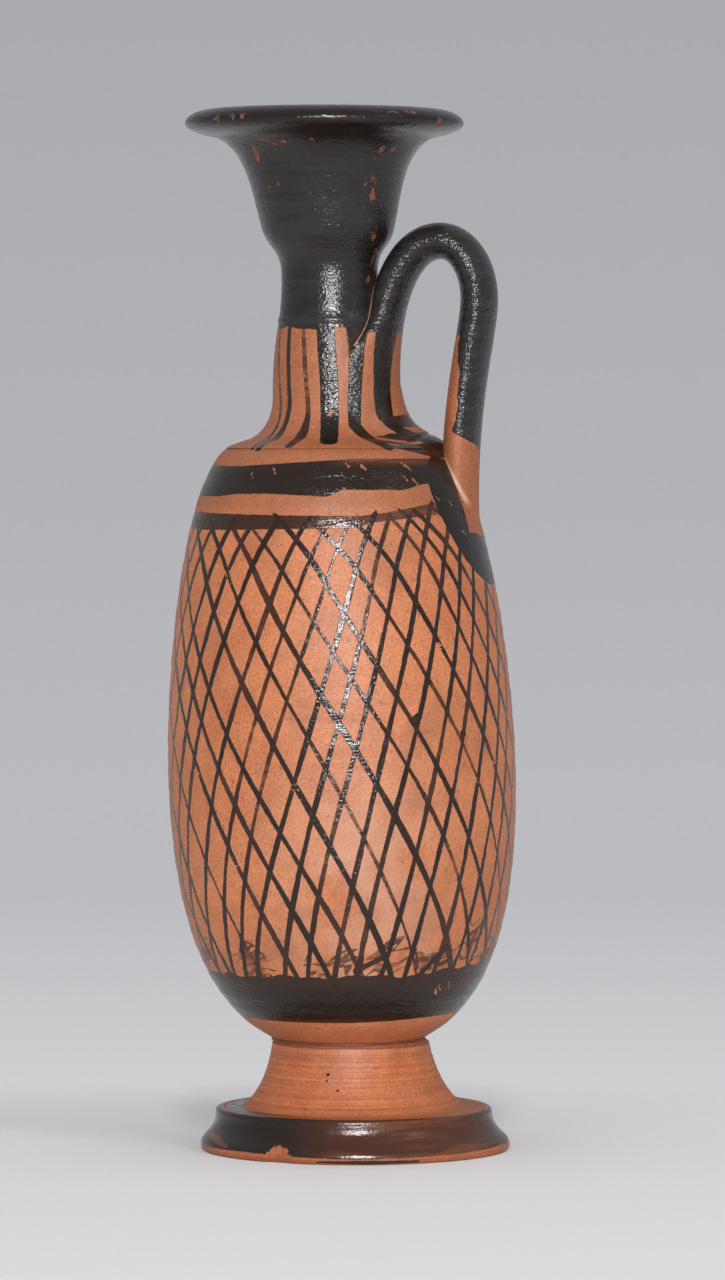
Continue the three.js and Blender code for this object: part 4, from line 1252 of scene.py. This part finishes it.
seam_width = np.where(lower_limb, FOOT_SEAM_WIDTH, SEAM_WIDTH)
seam = share(np.abs(clear - seam_rise) / seam_width, *SEAM_EDGE) * in_seam
handle = skinned("handle_visual", handle_grid, ink=handle_ink, chip=SEAM_CHIP[0] - SEAM_CHIP[1] * seam,
                 wear=0.1, stain=-seam, dull=0.85)
fitted(handle, pottery("pulled handle clay", *SHADED_NECK_CLAY, turning=0.2, pitted=2.0), "handle")


# Handle lutings
# Soft clay pressed round both ends of the strap and smoothed out over the neck and the shoulder, so that the
# strap grows out of the jar. The painter's tongues cross the upper one; the black patch covers the lower one.

TOP_PAD = {"middle": 125.5, "length": 14.0, "width": 10.0, "thickness": 2.2}
BASE_PAD = {"middle": 117.8, "length": 7.2, "width": 8.2, "thickness": 0.45}
PAD_SINK = 0.3
PAD_DIP = 0.05
PAD_FALL = 1.3
PAD_ROWS = 60
PAD_COLUMNS = 160


def swelling(profile, axis, middle, length, width, thickness):
    """A pad of clay pressed on a thrown wall. In polar places (p, s) round its middle it spreads
    length p sin s along the outline and width p cos s across, and rises thickness (1 - p^2)^PAD_FALL along
    the wall's normal; its underside lies a little inside the wall. Returns its points and its wall for
    painting."""
    lengths = measured(profile)
    slope = np.gradient(profile, lengths, axis=0)
    rim = np.concatenate([np.linspace(0, 1, PAD_ROWS), np.linspace(1, 0, PAD_ROWS)[1:]])[:, None]
    over = (np.arange(2 * PAD_ROWS - 1) < PAD_ROWS)[:, None]
    turn = np.linspace(0, 2 * np.pi, PAD_COLUMNS, endpoint=False)
    along = np.interp(middle, profile[:, 1], lengths) + length * rim * np.sin(turn)
    radius = np.interp(along, lengths, profile[:, 0])
    angle = width * rim * np.cos(turn) / radius
    lift = np.where(over, thickness * (1 - rim**2) ** PAD_FALL - PAD_DIP, -PAD_SINK)
    away = radius + lift * np.interp(along, lengths, slope[:, 1])
    height = np.interp(along, lengths, profile[:, 1]) - lift * np.interp(along, lengths, slope[:, 0])
    points = np.stack([axis(height) + away * np.cos(angle), away * np.sin(angle), height], -1)
    return points, Wall(profile, HANDLE_ANGLE + np.degrees(angle), along)


for node, size in (("handle_top_luting", TOP_PAD), ("handle_base_luting", BASE_PAD)):
    points, pad_wall = swelling(wall_outline, body_axis, **size)
    layers = pad_wall.strokes(NECK_STROKES)
    if node == "handle_base_luting":
        layers.append((handle_patch(pad_wall), 0.0))
    else:
        layers.append((pad_wall.band(BLACK_FROM, mouth_top), BLACK_TONE))
    pad_ink, pad_tone = joined(*layers)
    seam = pad_wall.stroke(*FOOT_SEAM)
    pad = skinned(node + "_visual", points, ink=pad_ink, tone=pad_tone, chip=FOOT_SEAM_CHIP * seam, wear=0.3,
                  stain=np.where(seam < FOOT_SEAM_MARGIN, FOOT_SEAM_STAIN, 0))
    fitted(pad, pottery(node.replace("_", " "), *SHADED_NECK_CLAY, turning=LUTING_TURNING), node)


# Studio
# A pale table that fades into a soft grey backdrop, with soft lights in front, low on the left, on the right
# and overhead, and two panels that only show in the gloss. The camera stands a little above the jar's middle
# and sees the handle on the right.

CAMERA_TURN = 12.0
CAMERA_DISTANCE = 1117.0
CAMERA_HEIGHT = 124.7
CAMERA_ASIDE = 1.21
CAMERA_PITCH = 1.865
CAMERA_LENS = 181.4
CAMERA_FAR = 100.0
SENSOR = 36.0
FOOT_CENTRE = foot_axis(0.0)
JAR_MIDDLE = Vector((0.0, 0.0, 0.09))

# The table; its fade is in metres from a point shifted towards the camera
TABLE_RADIUS = 600.0
TABLE_GRID = (40, 96)
TABLE_CLOSER = 1.5
TABLE_COLOUR = (0.95, 0.95, 0.97)
TABLE_ROUGHNESS = 0.9
TABLE_SPECULAR = 0.1
TABLE_SHIFT = 0.12
TABLE_FADE = (0.17, 0.25)

# The backdrop's colours, by the share of the way up BACKDROP_RANGE, the rise of the line of sight
BACKDROP = [
    (0.05, (0.624, 0.624, 0.638)), (0.12, (0.578, 0.578, 0.597)), (0.165, (0.535, 0.533, 0.564)),
    (0.21, (0.503, 0.497, 0.527)), (0.29, (0.500, 0.497, 0.523)), (0.55, (0.453, 0.453, 0.479)),
    (0.77, (0.423, 0.429, 0.451)), (0.96, (0.402, 0.407, 0.429))]
BACKDROP_RANGE = (-0.11, 0.07)
AMBIENT = 0.30

# Each light: a glow that lights or a sheen that is only mirrored, its turn from the camera and lift in
# degrees, its distance, width and depth in metres, and its power in watts
LIGHTS = {
    "front_softbox": ("glow", 0, 25, 2.6, 0.20, 2.4, 33.5),
    "low_fill": ("glow", -25, 6, 1.6, 0.9, 0.9, 5.0),
    "right_lamp": ("glow", 38, 27, 1.2, 0.08, 0.5, 2.3),
    "overhead_softbox": ("glow", 0, 84, 1.3, 0.9, 0.9, 2.2),
    "front_strip": ("sheen", 3, 17, 1.3, 0.40, 0.38, 21.0),
    "right_strip": ("sheen", 56, 33, 1.2, 0.20, 0.20, 0.5)}


def bearing(turn):
    """The level direction from the jar that lies a turn in degrees to the right of the camera."""
    heading = math.radians(CAMERA_TURN + turn)
    return Vector((math.sin(heading), -math.cos(heading), 0))


# The table fades out for the camera only, and stays whole for all the light that falls on it
rings = np.linspace(0, 1, TABLE_GRID[0])[:, None] ** TABLE_CLOSER * TABLE_RADIUS
spokes = np.linspace(0, 2 * np.pi, TABLE_GRID[1], endpoint=False)
table_grid = np.stack([rings * np.cos(spokes), rings * np.sin(spokes), np.zeros(TABLE_GRID)], -1)
table = skinned("table", table_grid)
material = bpy.data.materials.new("pale table")
material.use_nodes = True
tree = material.node_tree
shader = tree.nodes["Principled BSDF"]
shader.inputs["Base Color"].default_value = (*TABLE_COLOUR, 1)
shader.inputs["Roughness"].default_value = TABLE_ROUGHNESS
shader.inputs["Specular IOR Level"].default_value = TABLE_SPECULAR
place = put(tree, "ShaderNodeTexCoord").outputs["Object"]
sockets = {0: place, 1: bearing(0) * TABLE_SHIFT}
from_middle = put(tree, "ShaderNodeVectorMath", sockets, operation="DISTANCE").outputs["Value"]
unseen = calc(tree, "SUBTRACT", 1.0, put(tree, "ShaderNodeLightPath").outputs["Is Camera Ray"])
shown = calc(tree, "MAXIMUM", ramp(tree, from_middle, *TABLE_FADE, 1.0, 0.0), unseen)
tree.links.new(shown, shader.inputs["Alpha"])
table.data.materials.append(material)

world = bpy.data.worlds.new("backdrop")
bpy.context.scene.world = world
world.use_nodes = True
tree = world.node_tree
sight = put(tree, "ShaderNodeTexCoord").outputs["Generated"]
rise = put(tree, "ShaderNodeSeparateXYZ", {0: sight}).outputs["Z"]
spread = {"Value": rise, "From Min": BACKDROP_RANGE[0], "From Max": BACKDROP_RANGE[1]}
fade = put(tree, "ShaderNodeValToRGB", {0: put(tree, "ShaderNodeMapRange", spread).outputs["Result"]})
while len(fade.color_ramp.elements) < len(BACKDROP):
    fade.color_ramp.elements.new(0.5)
for stop, (place, colour) in zip(fade.color_ramp.elements, BACKDROP):
    stop.position = place
    stop.color = (*colour, 1)
path = put(tree, "ShaderNodeLightPath").outputs
mirrored = calc(tree, "MAXIMUM", path["Is Glossy Ray"], path["Is Transmission Ray"])
seen = calc(tree, "MAXIMUM", path["Is Camera Ray"], mirrored)
sky = tree.nodes["Background"]
tree.links.new(tint(tree, seen, (AMBIENT, AMBIENT, AMBIENT, 1), fade.outputs["Color"]), sky.inputs["Color"])

for name, (kind, turn, lift, distance, width, depth, power) in LIGHTS.items():
    lamp = bpy.data.lights.new(name, "AREA")
    lamp.shape = "RECTANGLE"
    lamp.size, lamp.size_y, lamp.energy = width, depth, power
    holder = bpy.data.objects.new(name, lamp)
    lift = math.radians(lift)
    towards = bearing(turn) * math.cos(lift) + Vector((0, 0, math.sin(lift)))
    holder.location = JAR_MIDDLE + towards * distance
    holder.rotation_euler = towards.to_track_quat("Z", "Y").to_euler()
    holder.visible_glossy = kind == "sheen"
    holder.visible_diffuse = kind == "glow"
    bpy.context.collection.objects.link(holder)

lens = bpy.data.cameras.new("camera")
lens.sensor_fit = "VERTICAL"
lens.sensor_height = SENSOR
lens.sensor_width = SENSOR
lens.lens = CAMERA_LENS
lens.clip_end = CAMERA_FAR
camera = bpy.data.objects.new("camera", lens)
standpoint = Vector((FOOT_CENTRE, 0, CAMERA_HEIGHT)) + bearing(0) * CAMERA_DISTANCE
camera.location = (standpoint + bearing(90) * CAMERA_ASIDE) * MM
camera.rotation_euler = (math.radians(90 - CAMERA_PITCH), 0, math.radians(CAMERA_TURN))
bpy.context.collection.objects.link(camera)
bpy.context.scene.camera = camera
bpy.context.scene.view_settings.view_transform = "Standard"
